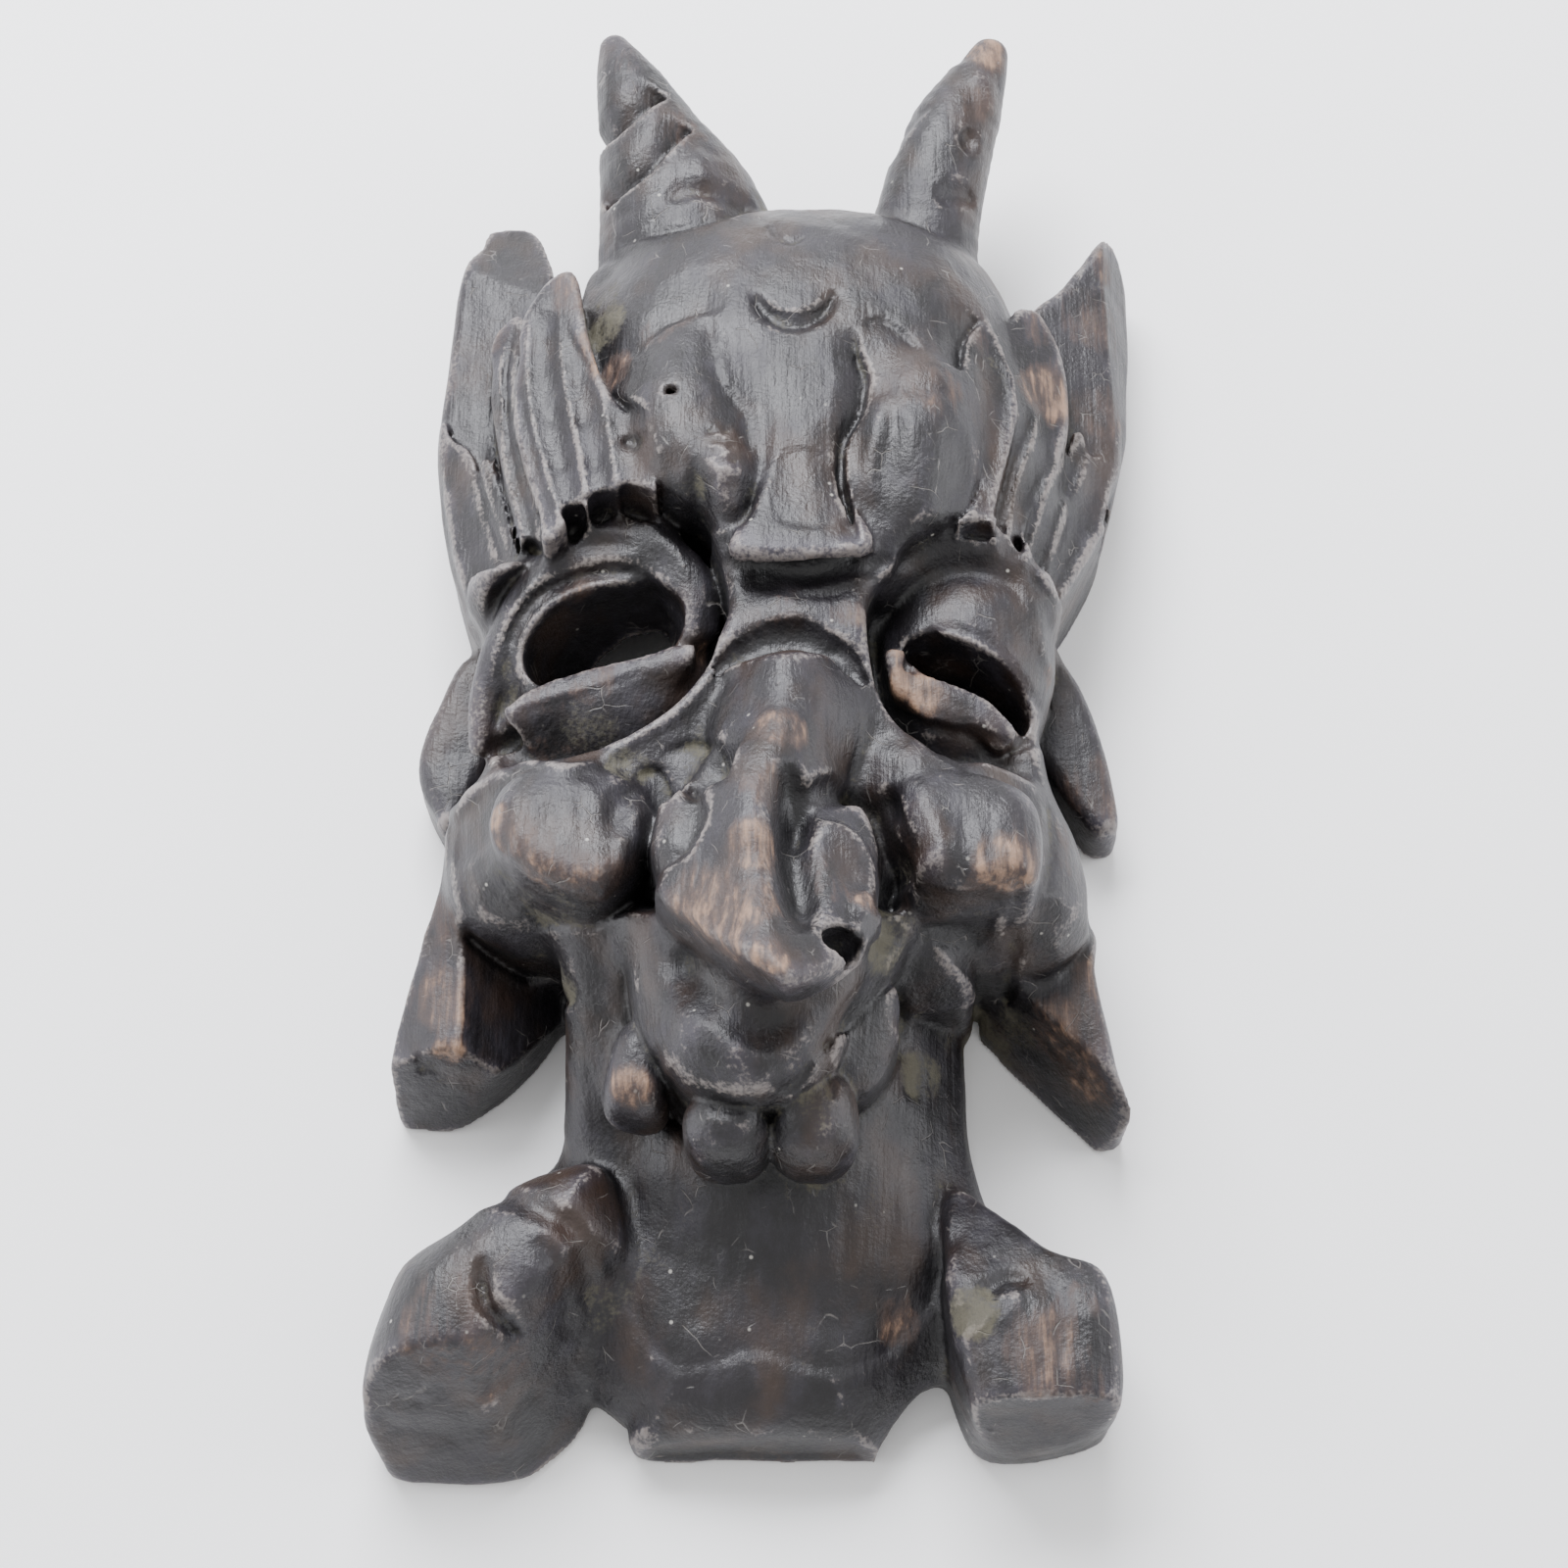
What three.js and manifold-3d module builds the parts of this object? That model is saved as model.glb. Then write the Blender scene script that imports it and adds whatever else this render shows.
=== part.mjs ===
// Demon mask, carved in one from a single block of black-stained wood.
// Millimetres. It lies on its back: +Z is the way the face looks, +Y runs to the horns,
// +X is the viewer's right. The carving is kept as a field of distances from the wood's
// surface (negative inside). Each form below is joined to it or cut out of it, the field
// is turned into flats, and the back is planed off level last.
import * as THREE from 'three';
import Module from 'manifold-3d';

// driving sizes
const CELL = 3;
const BLOCK_LOW = [-108, -213, -9];
const BLOCK_HIGH = [112, 217, 126];
const FAR = 60;
const NEAR = 5;
const FLATS = 9400;
const STAIN = 0x2c2a2b;

const cells = BLOCK_LOW.map((low, k) => Math.ceil((BLOCK_HIGH[k] - low) / CELL) + 1);
const [NX, NY, NZ] = cells;
const place = (k, i) => BLOCK_LOW[k] + i * CELL;
const index = (i, j, k) => (i * NY + j) * NZ + k;
let field = new Float32Array(NX * NY * NZ).fill(FAR);
const aside = [];

function softMin(a, b, blend) {
  if (blend <= 0) return Math.min(a, b);
  const h = Math.max(blend - Math.abs(a - b), 0) / blend;
  return Math.min(a, b) - h * h * blend * 0.25;
}

// every cell of the field inside a box, with its plan value worked out once a column
function sweep(low, high, reach, plan, change) {
  const from = low.map((v, k) => Math.max(Math.ceil((v - reach - BLOCK_LOW[k]) / CELL), 0));
  const to = high.map((v, k) => Math.min(Math.floor((v + reach - BLOCK_LOW[k]) / CELL), cells[k] - 1));
  for (let i = from[0]; i <= to[0]; i += 1) {
    const x = place(0, i);
    for (let j = from[1]; j <= to[1]; j += 1) {
      const y = place(1, j);
      const flat = plan(x, y);
      for (let k = from[2]; k <= to[2]; k += 1) {
        const n = index(i, j, k);
        field[n] = change(field[n], x, y, place(2, k), flat);
      }
    }
  }
}

function join(shape, blend) {
  const reach = blend + NEAR;
  sweep(shape.low, shape.high, reach, shape.plan, (f, x, y, z, flat) => {
    return softMin(f, shape.far(x, y, z, flat), blend);
  });
}

function cut(shape, blend) {
  const reach = blend + NEAR;
  sweep(shape.low, shape.high, reach, shape.plan, (f, x, y, z, flat) => {
    return -softMin(-f, shape.far(x, y, z, flat), blend);
  });
}

// sets the work aside and starts a piece of it afresh
function hold() {
  aside.push(field);
  field = new Float32Array(field.length).fill(FAR);
}

// joins that piece to the work set aside
function lay(blend) {
  const base = aside.pop();
  for (let n = 0; n < base.length; n += 1) {
    if (field[n] < FAR - 1) base[n] = softMin(base[n], field[n], blend);
  }
  field = base;
}

const noPlan = () => 0;

// an egg; a power over 2 squares it up
function ball(centre, radii, turn = 0, lean = 0, roll = 0, power = 2) {
  const reach = turn || lean || roll ? radii.map(() => Math.max(...radii)) : radii;
  const [ct, st] = [Math.cos(turn * Math.PI / 180), Math.sin(turn * Math.PI / 180)];
  const [cl, sl] = [Math.cos(lean * Math.PI / 180), Math.sin(lean * Math.PI / 180)];
  const [cr, sr] = [Math.cos(roll * Math.PI / 180), Math.sin(roll * Math.PI / 180)];
  const far = (x, y, z) => {
    let [px, py, pz] = [x - centre[0], y - centre[1], z - centre[2]];
    [px, py] = [ct * px + st * py, ct * py - st * px];
    [py, pz] = [cl * py + sl * pz, cl * pz - sl * py];
    [px, pz] = [cr * px + sr * pz, cr * pz - sr * px];
    const q = [Math.abs(px / radii[0]), Math.abs(py / radii[1]), Math.abs(pz / radii[2])];
    const sum = q[0] ** power + q[1] ** power + q[2] ** power + 1e-9;
    const size = sum ** (1 / power);
    const slope = Math.hypot(...q.map((v, k) => v ** (power - 1) / radii[k]));
    return (size - 1) / (slope * size ** (1 - power) + 1e-6);
  };
  return {
    low: centre.map((v, k) => v - reach[k]),
    high: centre.map((v, k) => v + reach[k]),
    plan: noPlan,
    far,
  };
}

// a smooth curve through the points
function bend(points, steps, closed = false) {
  if (points.length < 3 && !closed) return points;
  const count = points.length;
  const out = [];
  const spans = closed ? count : count - 1;
  const mirrored = (p, q) => p.map((v, k) => 2 * v - q[k]);
  for (let i = 0; i < spans; i += 1) {
    const b = points[i];
    const c = points[(i + 1) % count];
    const before = closed || i > 0 ? points[(i - 1 + count) % count] : mirrored(b, c);
    const after = closed || i + 2 < count ? points[(i + 2) % count] : mirrored(c, b);
    for (let s = 0; s < steps; s += 1) {
      const t = s / steps;
      out.push(b.map((v, k) => 0.5 * (2 * v + (c[k] - before[k]) * t
        + (2 * before[k] - 5 * v + 4 * c[k] - after[k]) * t * t
        + (3 * v - before[k] - 3 * c[k] + after[k]) * t * t * t)));
    }
  }
  if (!closed) out.push(points[count - 1]);
  return out;
}

const clamp = (v, low, high) => Math.min(Math.max(v, low), high);
const lowest = (list) => Math.min(...list);
const highest = (list) => Math.max(...list);

// a round limb through points [x, y, z, radius]; flat under 1 thins it from the front
function limb(points, flat) {
  const run = bend(points, 5);
  const far = (x, y, z) => {
    let best = Infinity;
    for (let n = 0; n + 1 < run.length; n += 1) {
      const [a, b] = [run[n], run[n + 1]];
      const [ex, ey, ez] = [b[0] - a[0], b[1] - a[1], (b[2] - a[2]) / flat];
      const [wx, wy, wz] = [x - a[0], y - a[1], (z - a[2]) / flat];
      const long = Math.max(Math.hypot(ex, ey, ez), 1e-3);
      const lean = clamp((a[3] - b[3]) / long, -0.9, 0.9);
      const share = (wx * ex + wy * ey + wz * ez) / (long * long);
      const off = Math.sqrt(Math.max(wx * wx + wy * wy + wz * wz - (share * long) ** 2, 0));
      const h = clamp(share + (off * lean) / Math.sqrt(1 - lean * lean) / long, 0, 1);
      const d = Math.hypot(wx - ex * h, wy - ey * h, wz - ez * h);
      best = Math.min(best, d - (a[3] + (b[3] - a[3]) * h));
    }
    return best * Math.min(flat, 1);
  };
  return {
    low: [0, 1, 2].map((k) => lowest(run.map((p) => p[k] - p[3]))),
    high: [0, 1, 2].map((k) => highest(run.map((p) => p[k] + p[3]))),
    plan: noPlan,
    far,
  };
}

// distance in plan from a closed outline, negative inside
function fromOutline(loop, x, y) {
  let best = Infinity;
  let inside = false;
  for (let n = 0; n < loop.length; n += 1) {
    const [a, b] = [loop[n], loop[(n + 1) % loop.length]];
    const [ex, ey] = [b[0] - a[0], b[1] - a[1]];
    const [wx, wy] = [x - a[0], y - a[1]];
    const h = clamp((wx * ex + wy * ey) / Math.max(ex * ex + ey * ey, 1e-9), 0, 1);
    best = Math.min(best, Math.hypot(wx - ex * h, wy - ey * h));
    if ((a[1] <= y) !== (b[1] <= y) && x < a[0] + (y - a[1]) / ey * ex) inside = !inside;
  }
  return inside ? -best : best;
}

// a board with that outline; slopes tip its top, crown swells it over width
function slab(points, bottom, top, edge, slopeX = 0, slopeY = 0, crown = 0, width = 12) {
  const loop = bend(points, 5, true);
  const middle = [0, 1].map((k) => loop.reduce((sum, p) => sum + p[k], 0) / loop.length);
  const far = (x, y, z, out) => {
    const s = clamp(-out / width, 0, 1);
    const tipped = top + slopeX * (x - middle[0]) + slopeY * (y - middle[1]);
    const lift = tipped + crown * (1 - (1 - s) * (1 - s));
    const over = Math.max(bottom - z, z - lift);
    const [u, v] = [out + edge, over + edge];
    return Math.hypot(Math.max(u, 0), Math.max(v, 0)) + Math.min(Math.max(u, v), 0) - edge;
  };
  const rise = crown + 40 * (Math.abs(slopeX) + Math.abs(slopeY));
  return {
    low: [lowest(loop.map((p) => p[0])), lowest(loop.map((p) => p[1])), bottom],
    high: [highest(loop.map((p) => p[0])), highest(loop.map((p) => p[1])), top + rise],
    plan: (x, y) => fromOutline(loop, x, y),
    far,
  };
}

// a flat chisel cut: takes off the wood beyond a plane, inside a box
function chop(point, normal, low, high, blend = 0) {
  const long = Math.hypot(...normal);
  const n = normal.map((v) => v / long);
  sweep(low, high, 0, noPlan, (f, x, y, z) => {
    const d = (x - point[0]) * n[0] + (y - point[1]) * n[1] + (z - point[2]) * n[2];
    return -softMin(-f, -d, blend);
  });
}

// pares off the wood in front of the flat through three points
function pare(a, b, c, low, high, blend) {
  const [p, q] = [b, c].map((v) => new THREE.Vector3(...v).sub(new THREE.Vector3(...a)));
  const normal = p.cross(q);
  if (normal.z < 0) normal.negate();
  chop(a, normal.toArray(), low, high, blend);
}

function carve() {
  // left ear lobe, cut to three flats
  join(slab([[-78, -40], [-88, -66], [-95, -94], [-96, -110], [-90, -114], [-80, -112], [-68, -104],
    [-56, -88], [-51, -78], [-54, -58], [-66, -42]], -6, 34, 3), 0);
  pare([-80, -56, 35], [-79, -104, 35], [-56, -84, 12], [-110, -140, -10], [-30, -20, 60], 1);
  pare([-82, -50, 35], [-81, -104, 35], [-95, -90, 27], [-110, -140, -10], [-30, -20, 60], 1);
  chop([-86, -102, 32], [-0.05, -0.95, 0.34], [-110, -140, -10], [-30, -20, 60], 1);

  // right ear lobe
  join(slab([[78, -36], [83, -56], [85, -76], [89.5, -104], [93, -116], [85, -119], [79, -113],
    [69, -102], [57, -90], [60, -66], [66, -44]], -6, 30, 3), 0);
  chop([64, -84, 26], [-0.68, -0.66, 0.32], [40, -140, -10], [110, -30, 60], 1);
  pare([84, -60, 30], [88, -100, 30], [93, -90, 22], [40, -140, -10], [110, -30, 60], 1);

  // left shoulder, a rounded block
  hold();
  join(slab([[-40, -132], [-61, -136], [-76, -146], [-89, -156], [-96, -174], [-98, -190], [-96, -198],
    [-88, -205], [-54, -203], [-46, -192], [-42, -178], [-34, -160]], -6, 40, 11, 0, 0, 8, 22), 0);
  chop([-80, -186, 36], [0, -0.87, 0.5], [-110, -225, -10], [-30, -125, 60], 2);
  chop([-57, -175, 36], [0.62, -0.62, 0.48], [-110, -225, -10], [-30, -125, 60], 2);
  lay(0);

  // right shoulder, squared
  hold();
  join(slab([[46, -136], [60, -144], [70, -153], [82, -158], [86, -174], [86, -188], [83, -195],
    [68, -199], [54, -198], [48, -188], [44, -168]], -6, 40, 4, 0, 0, 3, 14), 0);
  chop([68, -193, 36], [0, -0.94, 0.3], [30, -225, -10], [110, -125, 60], 1);
  pare([56, -150, 33], [82, -158, 37], [56, -164, 41], [30, -225, -10], [110, -125, 60], 3);
  lay(0);

  // upper ears
  hold();
  join(slab([[-81, 154], [-69, 154], [-63, 137], [-62, 124], [-57, 90], [-60, 59], [-68, 29],
    [-75, 15], [-79, 15], [-83, 24], [-86, 34], [-90, 50], [-92, 66], [-93, 82], [-92, 97], [-91, 111],
    [-90, 126], [-88, 138], [-84, 146]], -6, 34.6, 3, 0.22, 0), 1);
  chop([-78, 129, 35.5], [0, 0.36, 0.93], [-110, 110, -10], [-50, 170, 60], 0.5);
  join(slab([[97, 146], [102, 147], [105, 138], [104.5, 117], [103, 100], [102, 84], [99, 70],
    [94, 58], [89, 46], [82, 34], [76, 25], [72, 22], [71, 40], [70, 90], [74, 116], [83, 126],
    [90, 136]], -6, 36.1, 3, -0.2, 0), 1);
  pare([97, 140, 34], [98, 60, 33], [104, 90, 22], [60, 20, -10], [110, 160, 60], 1);
  join(slab([[-82, 16], [-91, -2], [-94.5, -18], [-90, -30], [-83, -34], [-70, 0]], -6, 24, 4), 3);
  join(slab([[72, 30], [81, 18], [88, 4], [93, -14], [95, -30], [93, -35], [87, -34], [78, -20],
    [66, 0]], -6, 20, 4), 3);
  lay(0);

  // the chest board and the neck that swells into it
  hold();
  join(slab([[-46, -66], [-49, -90], [-49, -112], [-54, -124], [-62, -136], [-60, -170], [-44, -184],
    [-35, -191], [-28, -199], [22, -200], [28, -196], [36, -182], [50, -176], [60, -150], [55, -132],
    [52, -116], [52, -90], [50, -66]], -6, 12, 3, 0, 0, 18, 32), 4);
  join(limb([[1, -90, 0, 46], [1, -118, -4, 48], [0, -138, -16, 53], [-2, -150, -24, 52]], 1), 6);
  chop([0, -199, 0], [0, -1, 0.12], [-110, -260, -10], [110, -150, 60]);
  lay(4);

  // the skull's dome
  join(ball([8, 60, -6], [71, 94.5, 84], 0, 0, 0, 3), 2);

  // the face block under the brow, narrowing to the jaw
  join(slab([[-72, 30], [-69, 0], [-74, -26], [-81, -38], [-82, -52], [-81, -64], [-76, -72],
    [-64, -78], [-52, -79], [-44, -90], [44, -92], [54, -82], [66, -82], [76, -80], [83, -72],
    [83, -60], [80, -46], [74, -30], [71, -5], [68, 30]], -6, 46, 9, 0, 0.1, 26, 42), 4);

  // brow: two swellings and the plate between them
  join(ball([-22, 54, 58], [20, 38, 26], 4), 8);
  join(ball([-12, 40, 69], [10, 19, 18], 12), 5);
  join(ball([40, 52, 56], [18, 38, 27], -4), 8);
  join(slab([[-3, 86], [0, 66], [1, 48], [-4, 28], [-10, 16], [4, 13], [27, 16], [22, 32], [20, 48],
    [21, 66], [24, 86]], 40, 81, 3, 0, -0.13), 4);

  // cheeks: two knobs that hang over the jaw
  join(slab([[-66, -48], [-68, -58], [-64, -68], [-53, -76], [-40, -79], [-32, -72], [-27, -58],
    [-34, -44], [-50, -39], [-60, -42]], 40, 81, 6, 0, -0.24, 3, 12), 5);
  join(slab([[32, -46], [50, -42], [64, -48], [68, -58], [67, -78], [61, -82], [44, -81], [33, -72],
    [28, -60]], 40, 80, 5, 0, -0.22, 4, 12), 5);

  // nose: a hooked wedge, its ridge leaning to the left
  join(ball([7, 2, 50], [20, 20, 26]), 4);
  join(ball([6, -28, 58], [22, 22, 30]), 4);
  join(limb([[6, -24, 68, 16], [2, -44, 74, 18], [0, -60, 78, 20]], 1), 5);
  join(limb([[5, -24, 82, 7], [4, -40, 88, 7], [-1, -56, 94, 7], [-3, -70, 98, 7]], 1), 8);
  hold();
  join(slab([[-23, -52], [-28, -62], [-29, -74], [-25, -84], [-18, -93], [-9, -102], [1, -110],
    [8, -105], [16, -97], [26, -83], [29, -70], [25, -56], [12, -48], [-10, -46]], 66, 120, 6), 0);
  pare([-3, -70, 104], [0, -106, 116], [-28, -76, 92], [-60, -130, 60], [60, 0, 140], 3);
  pare([-3, -70, 104], [0, -106, 116], [29, -76, 90], [-60, -130, 60], [60, 0, 140], 4);
  lay(5);

  // muzzle, teeth and the flaps of the lip
  join(slab([[-34, -72], [-35, -92], [-33, -103], [-29, -113], [-22, -121], [-10, -125], [2, -125],
    [10, -119], [16, -111], [26, -100], [33, -88], [34, -72]], 10, 66, 9, 0, 0, 8, 14), 4);
  join(ball([-4, -108, 66], [22, 20, 22], -8), 6);
  join(ball([-9, -129, 53], [11, 11, 18], 0, 0, 0, 2.6), 1);
  join(ball([11.5, -128, 52], [11.5, 12, 18], 0, 0, 0, 2.4), 1);
  join(ball([-30, -114, 50], [9, 12, 14], -14, 0, 0, 3), 2);
  join(slab([[12, -94], [28, -88], [34, -96], [32, -108], [25, -119], [15, -120], [10, -108]],
    10, 59, 3, -0.25, 0.1, 2, 8), 1);
  join(limb([[-45, 108, 44, 9], [-43, 121, 42, 9]], 1), 3);

  // horns
  join(limb([[-19, 118, 34, 30], [-25.5, 150, 38, 23.5], [-34.5, 175, 41, 15.5], [-41, 193, 43, 10],
    [-45.5, 206.5, 43, 5]], 0.9), 1);
  join(limb([[40, 116, 34, 19.5], [45.5, 146, 39, 15.5], [52, 172, 42, 13.8], [60, 191, 44, 9.5],
    [65, 203, 44, 6]], 0.95), 1);

  // eye sockets, cut straight down under the brow
  cut(slab([[-76, -24], [-68, -32], [-56, -35], [-36, -33], [-24, -26], [-16, -16], [-12, -4],
    [-11, 7], [-14, 20], [-20, 31], [-29, 37], [-39, 39], [-47, 36], [-54, 31], [-63, 26], [-80, 12],
    [-88, -8]], 49, 132, 6), 3);
  cut(slab([[26, -8], [26, 2], [29, 12], [35, 18], [43, 24], [54, 28], [63, 26], [68, 22], [74, 16],
    [88, 6], [88, -20], [80, -36], [66, -36], [57, -35], [47, -35], [36, -31], [29, -22]], 50, 132, 6),
    3);

  // locks of hair at the left temple: boards side by side, each a step above the next
  join(ball([-56, 64, 34], [20, 42, 28], -8), 6);
  join(slab([[-92, 84], [-88, 78], [-82, 69], [-78, 56], [-74, 42], [-71, 31], [-68, 14], [-79, 20],
    [-85, 34], [-89, 54], [-92, 73]], -6, 41.7, 2, 0.7, 0), 2);
  join(slab([[-79, 62], [-75, 47], [-71, 34], [-68, 20], [-61, 24], [-63, 31], [-67, 36], [-71, 47],
    [-74, 59], [-77, 65]], 20, 50.8, 2, 0.6, 0), 1);
  join(slab([[-70, 108], [-74, 106], [-77, 102], [-78, 93], [-78, 81], [-76, 68], [-73, 54], [-70, 42],
    [-67, 31], [-63, 30], [-59, 29], [-59, 38], [-63, 52], [-66, 69], [-68, 87], [-67, 102]],
    -6, 55.6, 2, 0.5, -0.1), 1);
  join(slab([[-55, 114], [-60, 112], [-64, 107], [-67, 100], [-68, 90], [-69, 78], [-68, 63],
    [-64, 47], [-60, 34], [-58, 25], [-53, 28], [-53, 33], [-47, 34], [-47, 36], [-39, 37], [-38, 38],
    [-33, 36], [-28, 34], [-27, 40], [-29, 53], [-35, 63], [-42, 71], [-45, 79], [-48, 89], [-50, 100],
    [-52, 110]], 46, 71.5, 2, 0.3, -0.1), 1);

  // locks of hair at the right temple
  join(ball([64, 62, 34], [19, 40, 27], 8), 6);
  join(slab([[99, 85], [99, 73], [97, 63], [94, 51], [89, 40], [83, 29], [77, 20], [72, 27], [70, 28],
    [69, 31], [73, 42], [78, 56], [83, 68], [85, 76], [88, 77], [90, 71], [96, 76]],
    -6, 41.5, 2, -0.6, 0), 1);
  join(slab([[70, 110], [76, 111], [80, 103], [83, 91], [83, 78], [81, 65], [75, 50], [71, 36],
    [68, 25], [68, 29], [65, 32], [61, 34], [58, 34], [61, 45], [65, 58], [67, 70], [67, 82], [65, 94],
    [67, 104]], -6, 56.3, 2, -0.45, -0.1), 1);
  join(slab([[60, 99], [58, 94], [57, 82], [58, 71], [56, 54], [54, 40], [49, 29], [53, 29], [58, 29],
    [60, 28], [63, 42], [66, 55], [68, 68], [68, 75], [67, 82], [63, 92]], 46, 68.7, 2, -0.25, -0.12),
    1);

  // left eye: the ball, the rim of the upper lid, the hole and the lower lid
  join(ball([-42, 4, 33], [33, 37, 29], 20, 0, 0, 2.3), 2);
  join(limb([[-74, -22, 46, 2], [-72, -8, 50, 3], [-66, 7, 54, 3.5], [-57, 19, 57, 3.5],
    [-44, 23, 59, 3.5], [-33, 21, 60, 3.5], [-25, 12, 60, 3], [-21, 4, 59, 2]], 1), 3);
  cut(ball([-43, 3, 70], [23, 14.5, 50], 20), 1);
  hold();
  join(slab([[-68, -17], [-57, -10], [-46, -6], [-33, -3], [-19, -1], [-23, -12], [-31, -22],
    [-40, -29], [-48, -31], [-60, -27]], 26, 70, 1.5), 0);
  pare([-62, -15, 59], [-26, -6, 62], [-46, -4, 59], [-80, -50, 20], [0, 20, 90], 1);
  pare([-62, -19, 58], [-26, -8, 61], [-46, -29, 46], [-80, -50, 20], [0, 20, 90], 2);
  lay(1);

  // right eye: a heavy upper lid over a narrow hole
  join(ball([51.5, 1, 34], [25, 33, 30], -12, 0, 0, 2.3), 2);
  cut(ball([53, -9, 70], [20, 7, 54], -30), 1);
  join(slab([[31.5, 0], [36, 0.4], [35.8, -8], [42.5, -9.5], [49, -11.7], [56.6, -15], [61.4, -20],
    [65, -24.3], [62, -27.4], [58, -26.8], [52, -21.8], [45, -20], [39, -18.5], [33.4, -12], [31, -5]],
    24, 61, 0.8, -0.1, 0.05), 0.6);
  cut(limb([[33, -19, 62, 3], [43, -25, 62, 5], [54, -28, 61, 5], [64, -32, 58, 3]], 1), 1);

  // the slit under the brow plate and the crease over the nose
  cut(limb([[-14, 17, 74, 3], [-3, 15, 76, 5.5], [8, 13, 77, 7], [20, 15, 76, 5.5], [31, 17, 74, 3]],
    1), 1);
  cut(limb([[-14, -16, 74, 2], [-6, -10, 76, 4], [6, -6, 78, 6], [17, -10, 76, 4], [24, -17, 74, 2]],
    1), 1);

  // hollows beside the nose wing and at the corner of the mouth, and the nostril
  cut(ball([-15, -46, 90], [8, 8, 9]), 3);
  cut(ball([-30, -47, 82], [6, 5, 6]), 2);
  cut(limb([[17, -42, 92, 3], [26, -46, 88, 5], [31, -58, 86, 4], [31, -72, 84, 3]], 1), 2);
  cut(ball([10, -101, 90], [10, 7, 12], 14, 0, 0, 2.3), 1);
  cut(ball([41, -92, 66], [9, 9, 12], 20), 3);

  // the back: one long scoop behind the face, running down behind the neck
  cut(ball([1, 18, -6], [60, 96, 50], 0, 0, 0, 2.3), 0);
  cut(limb([[1, -60, -6, 34], [0, -100, -6, 33], [0, -140, -6, 30]], 1), 6);

  // the lowest layer, planed away at the end
  chop([0, 0, -5], [0, 0, -1], BLOCK_LOW, BLOCK_HIGH);
}

// the field turned into a closed skin: each cell is six wedges, each cut by the surface
function skin() {
  const corner = [[0, 0, 0], [1, 0, 0], [1, 1, 0], [0, 1, 0], [0, 0, 1], [1, 0, 1], [1, 1, 1], [0, 1, 1]];
  const wedges = [[0, 5, 1, 6], [0, 1, 2, 6], [0, 2, 3, 6], [0, 3, 7, 6], [0, 7, 4, 6], [0, 4, 5, 6]];
  const points = [];
  const faces = [];
  const made = new Map();
  const crossing = (a, b) => {
    const [p, q] = a.n < b.n ? [a, b] : [b, a];
    const key = p.n * 8388608 + q.n;
    if (made.has(key)) return made.get(key);
    const t = clamp(p.f / (p.f - q.f), 0.03, 0.97);
    points.push(p.at.map((v, k) => v + (q.at[k] - v) * t));
    made.set(key, points.length - 1);
    return points.length - 1;
  };
  const face = (a, b, c, inner, outer) => {
    const [p, q, r] = [a, b, c].map((n) => points[n]);
    const u = q.map((v, k) => v - p[k]);
    const w = r.map((v, k) => v - p[k]);
    const n = [u[1] * w[2] - u[2] * w[1], u[2] * w[0] - u[0] * w[2], u[0] * w[1] - u[1] * w[0]];
    const way = n.reduce((sum, v, k) => sum + v * (outer.at[k] - inner.at[k]), 0);
    faces.push(way > 0 ? [a, b, c] : [a, c, b]);
  };
  for (let i = 0; i + 1 < NX; i += 1) {
    for (let j = 0; j + 1 < NY; j += 1) {
      for (let k = 0; k + 1 < NZ; k += 1) {
        let inside = 0;
        for (const c of corner) inside += field[index(i + c[0], j + c[1], k + c[2])] < 0 ? 1 : 0;
        if (inside === 0 || inside === 8) continue;
        const ends = corner.map((c) => {
          const n = index(i + c[0], j + c[1], k + c[2]);
          return { n, f: field[n], at: [place(0, i + c[0]), place(1, j + c[1]), place(2, k + c[2])] };
        });
        for (const wedge of wedges) {
          const four = wedge.map((n) => ends[n]);
          const ins = four.filter((e) => e.f < 0);
          const outs = four.filter((e) => e.f >= 0);
          if (ins.length === 1) face(...outs.map((e) => crossing(ins[0], e)), ins[0], outs[0]);
          if (ins.length === 3) face(...ins.map((e) => crossing(e, outs[0])), ins[0], outs[0]);
          if (ins.length === 2) {
            const [a, b] = [crossing(ins[0], outs[0]), crossing(ins[0], outs[1])];
            const [c, d] = [crossing(ins[1], outs[1]), crossing(ins[1], outs[0])];
            face(a, b, c, ins[0], outs[0]);
            face(a, c, d, ins[0], outs[0]);
          }
        }
      }
    }
  }
  return { points, faces };
}

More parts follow.
